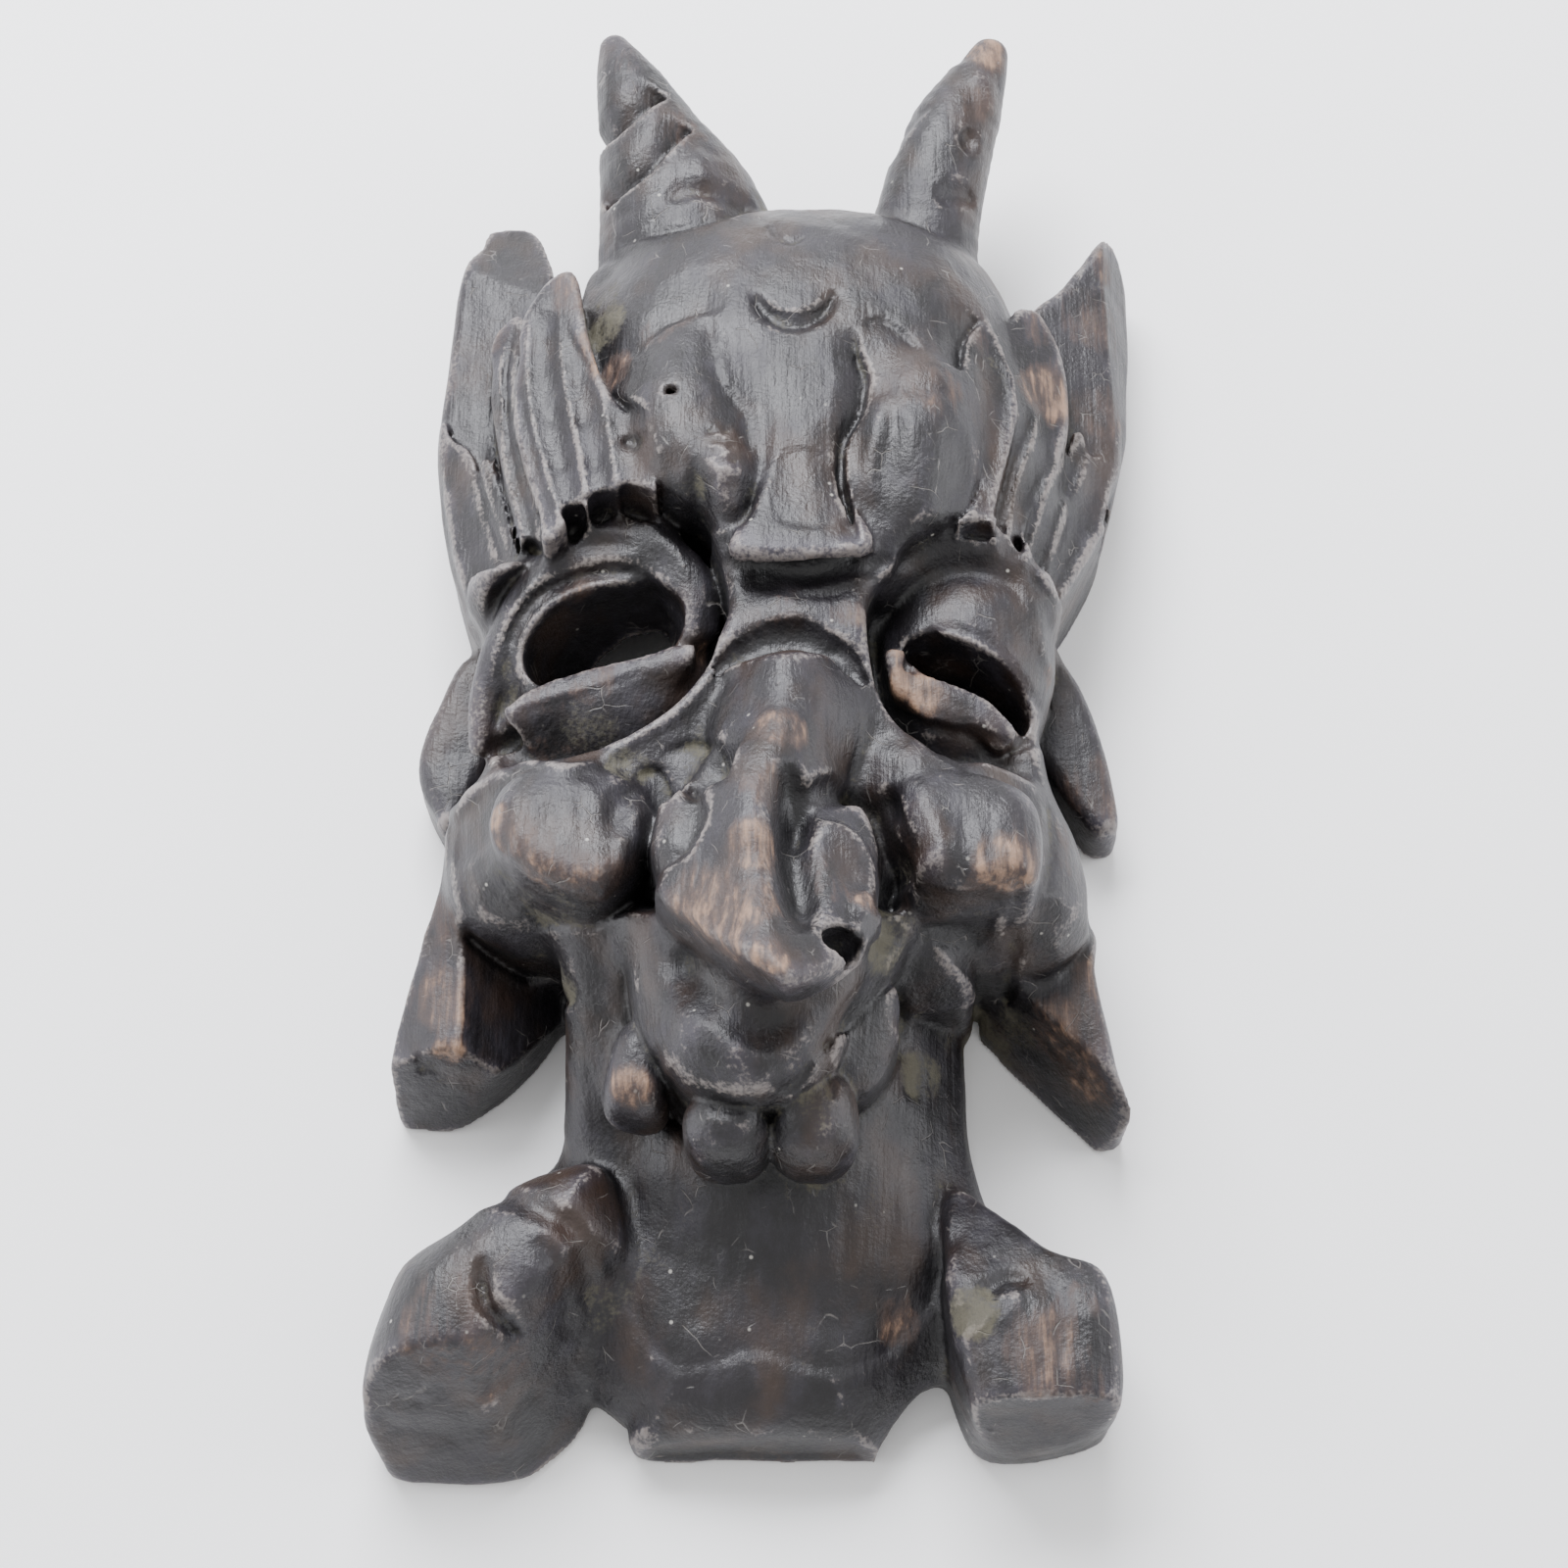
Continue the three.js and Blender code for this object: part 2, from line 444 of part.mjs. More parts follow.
// the skin thinned to flats: the edge whose loss moves the surface least goes first
function thinned({ points, faces }, wanted) {
  const dot = (u, v) => u[0] * v[0] + u[1] * v[1] + u[2] * v[2];
  const normalOf = ([p, q, r]) => {
    const u = [q[0] - p[0], q[1] - p[1], q[2] - p[2]];
    const w = [r[0] - p[0], r[1] - p[1], r[2] - p[2]];
    return [u[1] * w[2] - u[2] * w[1], u[2] * w[0] - u[0] * w[2], u[0] * w[1] - u[1] * w[0]];
  };
  const spread = points.map(() => new Float64Array(10));
  const around = points.map(() => new Set());
  const alive = faces.map(() => true);
  const stamp = new Int32Array(points.length);
  faces.forEach((f, n) => {
    const cross = normalOf(f.map((v) => points[v]));
    const long = Math.max(Math.hypot(...cross), 1e-12);
    const [a, b, c] = cross.map((v) => v / long);
    const d = -dot([a, b, c], points[f[0]]);
    const parts = [a * a, a * b, a * c, a * d, b * b, b * c, b * d, c * c, c * d, d * d];
    for (const v of f) {
      around[v].add(n);
      parts.forEach((value, k) => { spread[v][k] += value * (long * 0.5 + 0.02); });
    }
  });
  const costAt = (q, [x, y, z]) => q[0] * x * x + 2 * q[1] * x * y + 2 * q[2] * x * z + 2 * q[3] * x
    + q[4] * y * y + 2 * q[5] * y * z + 2 * q[6] * y + q[7] * z * z + 2 * q[8] * z + q[9];
  const bestPoint = (q, a, b) => {
    const middle = a.map((v, k) => (v + b[k]) / 2);
    const size = 1e-3 * (q[0] + q[4] + q[7]) + 1e-9;
    const m = [q[0] + size, q[1], q[2], q[4] + size, q[5], q[7] + size];
    const r = [size * middle[0] - q[3], size * middle[1] - q[6], size * middle[2] - q[8]];
    const c0 = m[3] * m[5] - m[4] * m[4];
    const c1 = m[2] * m[4] - m[1] * m[5];
    const c2 = m[1] * m[4] - m[2] * m[3];
    const det = m[0] * c0 + m[1] * c1 + m[2] * c2;
    if (Math.abs(det) < 1e-12) return middle;
    const x = (c0 * r[0] + c1 * r[1] + c2 * r[2]) / det;
    const y = (c1 * r[0] + (m[0] * m[5] - m[2] * m[2]) * r[1] + (m[1] * m[2] - m[0] * m[4]) * r[2]) / det;
    const z = (c2 * r[0] + (m[1] * m[2] - m[0] * m[4]) * r[1] + (m[0] * m[3] - m[1] * m[1]) * r[2]) / det;
    const away = Math.hypot(x - middle[0], y - middle[1], z - middle[2]);
    const edge = Math.hypot(a[0] - b[0], a[1] - b[1], a[2] - b[2]);
    return away > edge * 2 ? middle : [x, y, z];
  };
  const heap = [];
  const above = (i) => (i - 1) >> 1;
  const swap = (i, j) => { [heap[i], heap[j]] = [heap[j], heap[i]]; };
  const push = (item) => {
    heap.push(item);
    let i = heap.length - 1;
    while (i > 0 && heap[above(i)].cost > heap[i].cost) {
      swap(i, above(i));
      i = above(i);
    }
  };
  const pop = () => {
    const top = heap[0];
    const last = heap.pop();
    if (heap.length === 0) return top;
    heap[0] = last;
    let i = 0;
    for (;;) {
      const [l, r] = [2 * i + 1, 2 * i + 2];
      let least = i;
      if (l < heap.length && heap[l].cost < heap[least].cost) least = l;
      if (r < heap.length && heap[r].cost < heap[least].cost) least = r;
      if (least === i) return top;
      swap(i, least);
      i = least;
    }
  };
  const offer = (a, b) => {
    const sum = spread[a].map((v, k) => v + spread[b][k]);
    const at = bestPoint(sum, points[a], points[b]);
    const long = points[a].reduce((s, v, k) => s + (v - points[b][k]) ** 2, 0);
    push({ a, b, at, cost: costAt(sum, at) + 1e-4 * long, mark: [stamp[a], stamp[b]] });
  };
  const neighbours = (v) => {
    const near = new Set();
    for (const n of around[v]) for (const w of faces[n]) if (w !== v) near.add(w);
    return near;
  };
  const turnsOver = (v, other, at) => {
    for (const n of around[v]) {
      if (faces[n].includes(other)) continue;
      const before = normalOf(faces[n].map((w) => points[w]));
      const moved = faces[n].map((w) => (w === v ? at : points[w]));
      const after = normalOf(moved);
      const size = Math.hypot(...after);
      if (dot(before, after) <= 0.25 * Math.hypot(...before) * size) return true;
      const sides = [0, 1, 2].map((k) => Math.hypot(...moved[k].map((p, m) => p - moved[(k + 1) % 3][m])));
      if (size < 0.04 * Math.max(...sides) ** 2) return true;
    }
    return false;
  };
  for (let v = 0; v < points.length; v += 1) for (const w of neighbours(v)) if (w > v) offer(v, w);
  let left = faces.length;
  while (left > wanted && heap.length > 0) {
    const { a, b, at, mark } = pop();
    if (mark[0] !== stamp[a] || mark[1] !== stamp[b]) continue;
    const nearB = neighbours(b);
    if (!nearB.has(a)) continue;
    const shared = [...neighbours(a)].filter((v) => nearB.has(v));
    if (shared.length !== 2 || turnsOver(a, b, at) || turnsOver(b, a, at)) continue;
    for (const n of [...around[b]]) {
      if (faces[n].includes(a)) {
        alive[n] = false;
        left -= 1;
        for (const w of faces[n]) around[w].delete(n);
      } else {
        faces[n] = faces[n].map((w) => (w === b ? a : w));
        around[a].add(n);
      }
    }
    around[b].clear();
    points[a] = at;
    spread[a] = spread[a].map((v, k) => v + spread[b][k]);
    stamp[a] += 1;
    stamp[b] += 1;
    for (const w of neighbours(a)) offer(a, w);
  }
  return { points, faces: faces.filter((f, n) => alive[n]) };
}

function solidOf(wasm, { points, faces }) {
  const names = new Map();
  const kept = [];
  const tris = faces.map((f) => f.map((v) => {
    if (!names.has(v)) {
      names.set(v, kept.length);
      kept.push(points[v]);
    }
    return names.get(v);
  }));
  const mesh = new wasm.Mesh({
    numProp: 3,
    vertProperties: new Float32Array(kept.flat()),
    triVerts: new Uint32Array(tris.flat()),
  });
  return new wasm.Manifold(mesh);
}

function solidOfGeometry(wasm, geometry) {
  const at = geometry.attributes.position;
  const points = [];
  const names = new Map();
  const found = [];
  for (let n = 0; n < at.count; n += 1) {
    const p = [at.getX(n), at.getY(n), at.getZ(n)];
    const key = p.map((v) => v.toFixed(5)).join();
    if (!names.has(key)) {
      names.set(key, points.length);
      points.push(p);
    }
    found.push(names.get(key));
  }
  const faces = [];
  const order = geometry.index.array;
  for (let n = 0; n < order.length; n += 3) faces.push([0, 1, 2].map((k) => found[order[n + k]]));
  return solidOf(wasm, { points, faces });
}

function geometryOf(solid, middle) {
  const mesh = solid.getMesh();
  const flat = new Float32Array(mesh.triVerts.length * 3);
  mesh.triVerts.forEach((v, n) => {
    for (let k = 0; k < 3; k += 1) flat[n * 3 + k] = mesh.vertProperties[v * mesh.numProp + k] - middle[k];
  });
  const geometry = new THREE.BufferGeometry();
  geometry.setAttribute('position', new THREE.BufferAttribute(flat, 3));
  geometry.computeVertexNormals();
  return geometry;
}

const wasm = await Module();
wasm.setup();
carve();
const carved = solidOf(wasm, thinned(skin(), FLATS));

// the back planed level: everything behind z = 0 goes
const under = new THREE.BoxGeometry(400, 600, 40);
under.translate(0, 0, -20);
const planed = carved.subtract(solidOfGeometry(wasm, under));
const box = planed.boundingBox();
const middle = [(box.min[0] + box.max[0]) / 2, (box.min[1] + box.max[1]) / 2, 0];

const group = new THREE.Group();
const material = new THREE.MeshStandardMaterial({ color: STAIN, roughness: 0.6, metalness: 0 });
const mask = new THREE.Mesh(geometryOf(planed, middle), material);
mask.name = 'mask';
group.add(mask);

export default group;
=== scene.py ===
import math

import bpy
import numpy as np
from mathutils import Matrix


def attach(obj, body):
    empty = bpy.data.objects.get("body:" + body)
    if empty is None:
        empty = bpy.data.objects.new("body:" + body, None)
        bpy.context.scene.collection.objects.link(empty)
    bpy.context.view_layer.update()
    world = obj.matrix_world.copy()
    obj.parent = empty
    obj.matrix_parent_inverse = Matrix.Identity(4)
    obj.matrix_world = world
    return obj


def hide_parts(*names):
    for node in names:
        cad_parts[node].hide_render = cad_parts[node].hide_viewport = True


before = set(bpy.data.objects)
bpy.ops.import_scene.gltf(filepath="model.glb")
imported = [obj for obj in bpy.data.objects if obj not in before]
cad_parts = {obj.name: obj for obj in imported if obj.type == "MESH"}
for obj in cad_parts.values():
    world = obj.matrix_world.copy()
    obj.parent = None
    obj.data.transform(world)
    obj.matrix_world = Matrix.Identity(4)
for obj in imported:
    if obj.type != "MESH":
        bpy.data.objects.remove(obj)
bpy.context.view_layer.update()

# The view: looking down on the mask from 66 degrees, with the chin nearest
# Sizes are in millimetres on the carver's own drawing, whose middle is MIDDLE. The shared frame has
# that middle at its origin, and is in metres.
MIDDLE = (3.58, 3.37)
AIM = (4.5, -35.0, 50.0)
HEIGHT_ANGLE = math.radians(66.0)
REACH = 700.0
camera_data = bpy.data.cameras.new("view")
camera_data.lens = 62.2
camera_data.sensor_width = 36.0
camera_data.clip_end = 20.0
camera = bpy.data.objects.new("view", camera_data)
bpy.context.scene.collection.objects.link(camera)
camera.location = (
    (AIM[0] - MIDDLE[0]) / 1000,
    (AIM[1] - MIDDLE[1] - REACH * math.cos(HEIGHT_ANGLE)) / 1000,
    (AIM[2] + REACH * math.sin(HEIGHT_ANGLE)) / 1000,
)
camera.rotation_euler = (math.pi / 2 - HEIGHT_ANGLE, 0.0, 0.0)
bpy.context.scene.camera = camera


def linear(code):
    parts = [int(code[n:n + 2], 16) / 255 for n in (0, 2, 4)]
    return [p / 12.92 if p <= 0.04045 else ((p + 0.055) / 1.055) ** 2.4 for p in parts] + [1.0]


# The table: a pale matt board under the mask, which isn't part of it
# It is lit by a big soft window over the horns and two low, weaker ones at the sides, in a
# white room that gives the pale rims.
bpy.ops.object.select_all(action="DESELECT")
bpy.ops.mesh.primitive_plane_add(size=12.0, location=(0, 0, -0.0004))
table = bpy.context.object
table.name = "table"
board = bpy.data.materials.new("matt white board")
board.use_nodes = True
board_face = board.node_tree.nodes["Principled BSDF"]
board_face.inputs["Base Color"].default_value = linear("ffffff")
board_face.inputs["Roughness"].default_value = 0.9
board_face.inputs["Specular IOR Level"].default_value = 0.1
table.data.materials.append(board)


def window_light(name, place, aim, size, power):
    lamp = bpy.data.lights.new(name, "AREA")
    lamp.shape = "RECTANGLE"
    lamp.size, lamp.size_y = size
    lamp.energy = power
    lamp.color = linear("f8f9ff")[:3]
    holder = bpy.data.objects.new(name, lamp)
    bpy.context.scene.collection.objects.link(holder)
    holder.location = place
    gap = [a - p for a, p in zip(aim, place)]
    flat = math.hypot(gap[0], gap[1])
    holder.rotation_euler = (math.atan2(flat, -gap[2]), 0.0, math.atan2(gap[1], gap[0]) - math.pi / 2)


window_light("window over the horns", (-0.3, 0.85, 1.1), (0, 0, 0.05), (1.0, 0.7), 50)
window_light("window at the right", (1.2, 0.1, 0.5), (0, 0, 0.05), (0.7, 0.9), 8)
window_light("window at the left", (-1.2, 0.0, 0.5), (0, 0, 0.05), (0.7, 0.9), 8)
sky = bpy.data.worlds.new("room")
sky.use_nodes = True
sky.node_tree.nodes["Background"].inputs["Color"].default_value = linear("ffffff")
sky.node_tree.nodes["Background"].inputs["Strength"].default_value = 1.0
bpy.context.scene.world = sky

# The mask: one block of hardwood, roughed out, carved and stained black
# It is held as a field of distances in mm from the face of the wood, negative inside. Each form is
# joined to it or cut out of it in the order of the carving, and the face is skinned at the end.
CELL = 1.0
FAR = 60.0
NEAR = 5.0
LOW = (-112.0, -214.0, -8.0)
HIGH = (112.0, 220.0, 132.0)
steps = [np.arange(a, b + CELL / 2, CELL, dtype=np.float32) for a, b in zip(LOW, HIGH)]
bench = {"wood": np.full([len(s) for s in steps], FAR, np.float32), "aside": []}


def inside_box(low, high, reach=0.0):
    spans = []
    for s, a, b in zip(steps, low, high):
        first = int(np.searchsorted(s, a - reach))
        spans.append(slice(first, max(int(np.searchsorted(s, b + reach)), first)))
    x = steps[0][spans[0]][:, None, None]
    y = steps[1][spans[1]][None, :, None]
    z = steps[2][spans[2]][None, None, :]
    return tuple(spans), x, y, z


def soft_min(a, b, blend):
    if blend <= 0:
        return np.minimum(a, b)
    h = np.maximum(blend - np.abs(a - b), 0) / blend
    return np.minimum(a, b) - h * h * blend * 0.25


def join(form, blend=0.0):
    low, high, distance = form
    spans, x, y, z = inside_box(low, high, blend + NEAR)
    bench["wood"][spans] = soft_min(bench["wood"][spans], distance(x, y, z), blend)


def cut(form, blend=0.0):
    low, high, distance = form
    spans, x, y, z = inside_box(low, high, blend + NEAR)
    bench["wood"][spans] = -soft_min(-bench["wood"][spans], distance(x, y, z), blend)


def hold():
    bench["aside"].append(bench["wood"])
    bench["wood"] = np.full(bench["wood"].shape, FAR, np.float32)


def lay(blend=0.0):
    base, piece = bench["aside"].pop(), bench["wood"]
    spans = tuple(slice(int(a.min()), int(a.max()) + 1) for a in np.where(piece < FAR - 1))
    base[spans] = soft_min(base[spans], piece[spans], blend)
    bench["wood"] = base


def turned(x, y, angle):
    c, s = math.cos(math.radians(angle)), math.sin(math.radians(angle))
    return c * x + s * y, c * y - s * x


def ball(centre, radii, turn=0, lean=0, roll=0, power=2.0):
    box = [max(radii)] * 3 if turn or lean or roll else radii

    def distance(x, y, z):
        px, py, pz = x - centre[0], y - centre[1], z - centre[2]
        px, py = turned(px, py, turn)
        py, pz = turned(py, pz, lean)
        px, pz = turned(px, pz, roll)
        q = [np.abs(p / r) for p, r in zip((px, py, pz), radii)]
        size = sum(a ** power for a in q) + 1e-9
        out = size ** (1 / power)
        slope = np.sqrt(sum((a ** (power - 1) / r) ** 2 for a, r in zip(q, radii)))
        return (out - 1) / (slope * out ** (1 - power) + 1e-6)

    return [c - b for c, b in zip(centre, box)], [c + b for c, b in zip(centre, box)], distance


def bend(points, parts=6, closed=False):
    p = np.array([list(q) for q in points], float)
    n = len(p)
    if n < 3 and not closed:
        return p
    out = []
    for i in range(n if closed else n - 1):
        b, c = p[i], p[(i + 1) % n]
        a = p[i - 1] if i > 0 or closed else 2 * b - c
        d = p[(i + 2) % n] if i + 2 < n or closed else 2 * c - b
        for t in np.arange(parts) / parts:
            curve = 2 * b + (c - a) * t + (2 * a - 5 * b + 4 * c - d) * t ** 2
            out.append(0.5 * (curve + (3 * b - a - 3 * c + d) * t ** 3))
    if not closed:
        out.append(p[-1])
    return np.array(out)


def limb(points, flat=1.0):
    p = bend(points, 5)
    r = p[:, 3:4]

    def distance(x, y, z):
        best = None
        for a, b in zip(p[:-1], p[1:]):
            way = (b[:3] - a[:3]) * [1, 1, 1 / flat]
            long = max(math.sqrt(way @ way), 1e-3)
            lean = min(max((a[3] - b[3]) / long, -0.9), 0.9)
            px, py, pz = x - a[0], y - a[1], (z - a[2]) / flat
            h = (px * way[0] + py * way[1] + pz * way[2]) / long ** 2
            off = np.sqrt(np.maximum(px * px + py * py + pz * pz - (h * long) ** 2, 0))
            h = np.clip(h + off * (lean / math.sqrt(1 - lean * lean) / long), 0, 1)
            dx, dy, dz = px - way[0] * h, py - way[1] * h, pz - way[2] * h
            d = np.sqrt(dx * dx + dy * dy + dz * dz) - (a[3] + (b[3] - a[3]) * h)
            best = d if best is None else np.minimum(best, d)
        return best * min(flat, 1.0)

    return list((p[:, :3] - r * [1, 1, flat]).min(0)), list((p[:, :3] + r * [1, 1, flat]).max(0)), distance


def outline_gap(loop, x, y):
    best, within = None, None
    for a, b in zip(loop, np.roll(loop, -1, axis=0)):
        ex, ey = b[0] - a[0], b[1] - a[1]
        wx, wy = x - a[0], y - a[1]
        h = np.clip((wx * ex + wy * ey) / max(ex * ex + ey * ey, 1e-9), 0, 1)
        d = (wx - ex * h) ** 2 + (wy - ey * h) ** 2
        best = d if best is None else np.minimum(best, d)
        if abs(ey) > 1e-9:
            spans = ((a[1] <= y) & (b[1] > y)) | ((b[1] <= y) & (a[1] > y))
            crossed = spans & (x < a[0] + (y - a[1]) / ey * ex)
            within = crossed if within is None else within ^ crossed
    return np.where(within, -np.sqrt(best), np.sqrt(best))


def slab(points, bottom, top, edge=3.0, slopex=0, slopey=0, crown=0.0, width=12.0):
    loop = bend(points, 5, closed=True)
    mid = loop.mean(0)
    rise = crown + 40 * (abs(slopex) + abs(slopey))

    def distance(x, y, z):
        gap = outline_gap(loop, x, y)
        lift = top + slopex * (x - mid[0]) + slopey * (y - mid[1])
        lift = lift + crown * (1 - (1 - np.clip(-gap / width, 0, 1)) ** 2)
        u, v = gap + edge, np.maximum(bottom - z, z - lift) + edge
        out = np.sqrt(np.maximum(u, 0) ** 2 + np.maximum(v, 0) ** 2)
        return out + np.minimum(np.maximum(u, v), 0) - edge

    return [*loop.min(0), bottom], [*loop.max(0), top + rise], distance


def chop(point, normal, low, high, blend=0.0):
    n = np.array(normal, float) / np.linalg.norm(normal)
    spans, x, y, z = inside_box(low, high)
    beyond = (x - point[0]) * n[0] + (y - point[1]) * n[1] + (z - point[2]) * n[2]
    bench["wood"][spans] = -soft_min(-bench["wood"][spans], -beyond, blend)


def pare(a, b, c, low, high, blend=0.0):
    n = np.cross(np.subtract(b, a), np.subtract(c, a))
    chop(a, n if n[2] > 0 else -n, low, high, blend)


# left ear lobe, cut to three flats
join(slab([
    [-78, -40], [-88, -66], [-95, -94], [-96, -110], [-90, -114], [-80, -112], [-68, -104],
    [-56, -88], [-51, -78], [-54, -58], [-66, -42],
], -6, 34, 3), 0)
pare([-80, -56, 35], [-79, -104, 35], [-56, -84, 12], [-110, -140, -10], [-30, -20, 60], 1)
pare([-82, -50, 35], [-81, -104, 35], [-95, -90, 27], [-110, -140, -10], [-30, -20, 60], 1)
chop([-86, -102, 32], [-0.05, -0.95, 0.34], [-110, -140, -10], [-30, -20, 60], 1)
# right ear lobe
join(slab([
    [78, -36], [83, -56], [85, -76], [89.5, -104], [93, -116], [85, -119], [79, -113], [69, -102],
    [57, -90], [60, -66], [66, -44],
], -6, 30, 3), 0)
chop([64, -84, 26], [-0.68, -0.66, 0.32], [40, -140, -10], [110, -30, 60], 1)
pare([84, -60, 30], [88, -100, 30], [93, -90, 22], [40, -140, -10], [110, -30, 60], 1)
# left shoulder, a rounded block
hold()
join(slab([
    [-40, -132], [-61, -136], [-76, -146], [-89, -156], [-96, -174], [-98, -190], [-96, -198],
    [-88, -205], [-54, -203], [-46, -192], [-42, -178], [-34, -160],
], -6, 40, 11, 0, 0, 8, 22), 0)
chop([-80, -186, 36], [0, -0.87, 0.5], [-110, -225, -10], [-30, -125, 60], 2)
chop([-57, -175, 36], [0.62, -0.62, 0.48], [-110, -225, -10], [-30, -125, 60], 2)
lay(0)
# right shoulder, squared
hold()
join(slab([
    [46, -136], [60, -144], [70, -153], [82, -158], [86, -174], [86, -188], [83, -195], [68, -199],
    [54, -198], [48, -188], [44, -168],
], -6, 40, 4, 0, 0, 3, 14), 0)
chop([68, -193, 36], [0, -0.94, 0.3], [30, -225, -10], [110, -125, 60], 1)
pare([56, -150, 33], [82, -158, 37], [56, -164, 41], [30, -225, -10], [110, -125, 60], 3)
lay(0)
# upper ears
hold()
join(slab([
    [-81, 154], [-69, 154], [-63, 137], [-62, 124], [-57, 90], [-60, 59], [-68, 29], [-75, 15],
    [-79, 15], [-83, 24], [-86, 34], [-90, 50], [-92, 66], [-93, 82], [-92, 97], [-91, 111],
    [-90, 126], [-88, 138], [-84, 146],
], -6, 34.6, 3, 0.22, 0), 1)
chop([-78, 129, 35.5], [0, 0.36, 0.93], [-110, 110, -10], [-50, 170, 60], 0.5)
join(slab([
    [97, 146], [102, 147], [105, 138], [104.5, 117], [103, 100], [102, 84], [99, 70], [94, 58],
    [89, 46], [82, 34], [76, 25], [72, 22], [71, 40], [70, 90], [74, 116], [83, 126], [90, 136],
], -6, 36.1, 3, -0.2, 0), 1)
pare([97, 140, 34], [98, 60, 33], [104, 90, 22], [60, 20, -10], [110, 160, 60], 1)
join(slab([[-82, 16], [-91, -2], [-94.5, -18], [-90, -30], [-83, -34], [-70, 0]], -6, 24, 4), 3)
join(slab([
    [72, 30], [81, 18], [88, 4], [93, -14], [95, -30], [93, -35], [87, -34], [78, -20], [66, 0],
], -6, 20, 4), 3)
lay(0)
# the chest board and the neck that swells into it
hold()
join(slab([
    [-46, -66], [-49, -90], [-49, -112], [-54, -124], [-62, -136], [-60, -170], [-44, -184],
    [-35, -191], [-28, -199], [22, -200], [28, -196], [36, -182], [50, -176], [60, -150],
    [55, -132], [52, -116], [52, -90], [50, -66],
], -6, 12, 3, 0, 0, 18, 32), 4)
join(limb([[-34, -168, 8, 13], [-12, -180, 12, 15], [14, -180, 12, 15], [36, -166, 8, 13]], 1), 8)
join(limb([[1, -90, 0, 46], [1, -118, -4, 48], [0, -138, -16, 53], [-2, -150, -24, 52]], 1), 6)
chop([0, -199, 0], [0, -1, 0.12], [-110, -260, -10], [110, -150, 60])
lay(4)
# the skull's dome
join(ball([8, 60, -6], [71, 94.5, 84], 0, 0, 0, 3), 2)
# the face block under the brow, narrowing to the jaw
join(slab([
    [-72, 30], [-69, 0], [-74, -26], [-81, -38], [-82, -52], [-81, -64], [-76, -72], [-64, -78],
    [-52, -79], [-44, -90], [44, -92], [54, -82], [66, -82], [76, -80], [83, -72], [83, -60],
    [80, -46], [74, -30], [71, -5], [68, 30],
], -6, 46, 9, 0, 0.1, 26, 42), 4)
# brow: two swellings and the plate between them
join(ball([-22, 54, 58], [20, 38, 26], 4), 8)
join(ball([-12, 40, 69], [10, 19, 18], 12), 5)
join(ball([40, 52, 56], [18, 38, 27], -4), 8)
join(slab([
    [-3, 86], [0, 66], [1, 48], [-4, 28], [-10, 16], [4, 13], [27, 16], [22, 32], [20, 48],
    [21, 66], [24, 86],
], 40, 81, 3, 0, -0.13), 4)
# cheeks: two knobs that hang over the jaw
join(slab([
    [-66, -48], [-68, -58], [-64, -68], [-53, -76], [-40, -79], [-32, -72], [-27, -58], [-34, -44],
    [-50, -39], [-60, -42],
], 40, 81, 6, 0, -0.24, 3, 12), 5)
join(slab([
    [32, -46], [50, -42], [64, -48], [68, -58], [67, -72], [61, -76], [44, -76], [33, -69],
    [28, -60],
], 40, 80, 5, 0, -0.22, 4, 12), 5)
join(limb([[30, -40, 67, 7], [34, -56, 67, 8], [38, -70, 63, 8]], 1), 5)
join(limb([[37, -42, 70, 8], [42, -56, 70, 9], [45, -68, 66, 9]], 1), 6)
# nose: a hooked wedge, its ridge leaning to the left
join(ball([7, 2, 50], [20, 20, 26]), 4)
join(ball([6, -28, 58], [22, 22, 30]), 4)
join(limb([[6, -24, 68, 16], [2, -44, 74, 18], [0, -60, 78, 20]], 1), 5)
join(limb([[5, -24, 82, 7], [4, -40, 88, 7], [-1, -56, 94, 7], [-3, -70, 98, 7]], 1), 8)
hold()
join(slab([
    [-23, -52], [-28, -62], [-29, -74], [-25, -84], [-18, -93], [-9, -102], [3, -112], [12, -109],
    [21, -101], [28.5, -87], [29.5, -71], [25, -56], [12, -48], [-10, -46],
], 66, 120, 6), 0)
pare([-3, -70, 104], [0, -106, 116], [-28, -76, 92], [-60, -130, 60], [60, 0, 140], 3)
pare([-3, -70, 104], [0, -106, 116], [29, -76, 90], [-60, -130, 60], [60, 0, 140], 4)
lay(5)
join(ball([15, -72, 84], [12, 13, 11]), 2)
# muzzle, teeth and the flaps of the lip
join(slab([
    [-34, -72], [-35, -92], [-33, -103], [-29, -113], [-22, -121], [-10, -125], [2, -125],
    [10, -119], [16, -111], [26, -100], [33, -88], [34, -72],
], 10, 66, 9, 0, 0, 8, 14), 4)
join(ball([-4, -108, 66], [22, 20, 22], -8), 6)
join(ball([-9, -129, 53], [11, 11, 18], 0, 0, 0, 2.6), 1)
join(ball([11.5, -128, 52], [11.5, 12, 18], 0, 0, 0, 2.4), 1)
join(ball([-30, -114, 49], [9, 13, 14], -14, 0, 0, 3), 1)
join(limb([[-40, -78, 44, 13], [-38, -96, 34, 13], [-38, -116, 18, 14]], 1), 8)
join(slab([
    [12, -94], [28, -88], [34, -96], [32, -108], [25, -119], [15, -120], [10, -108],
], 10, 59, 3, -0.25, 0.1, 2, 8), 1)
join(limb([[-45, 108, 44, 9], [-43, 121, 42, 9]], 1), 3)
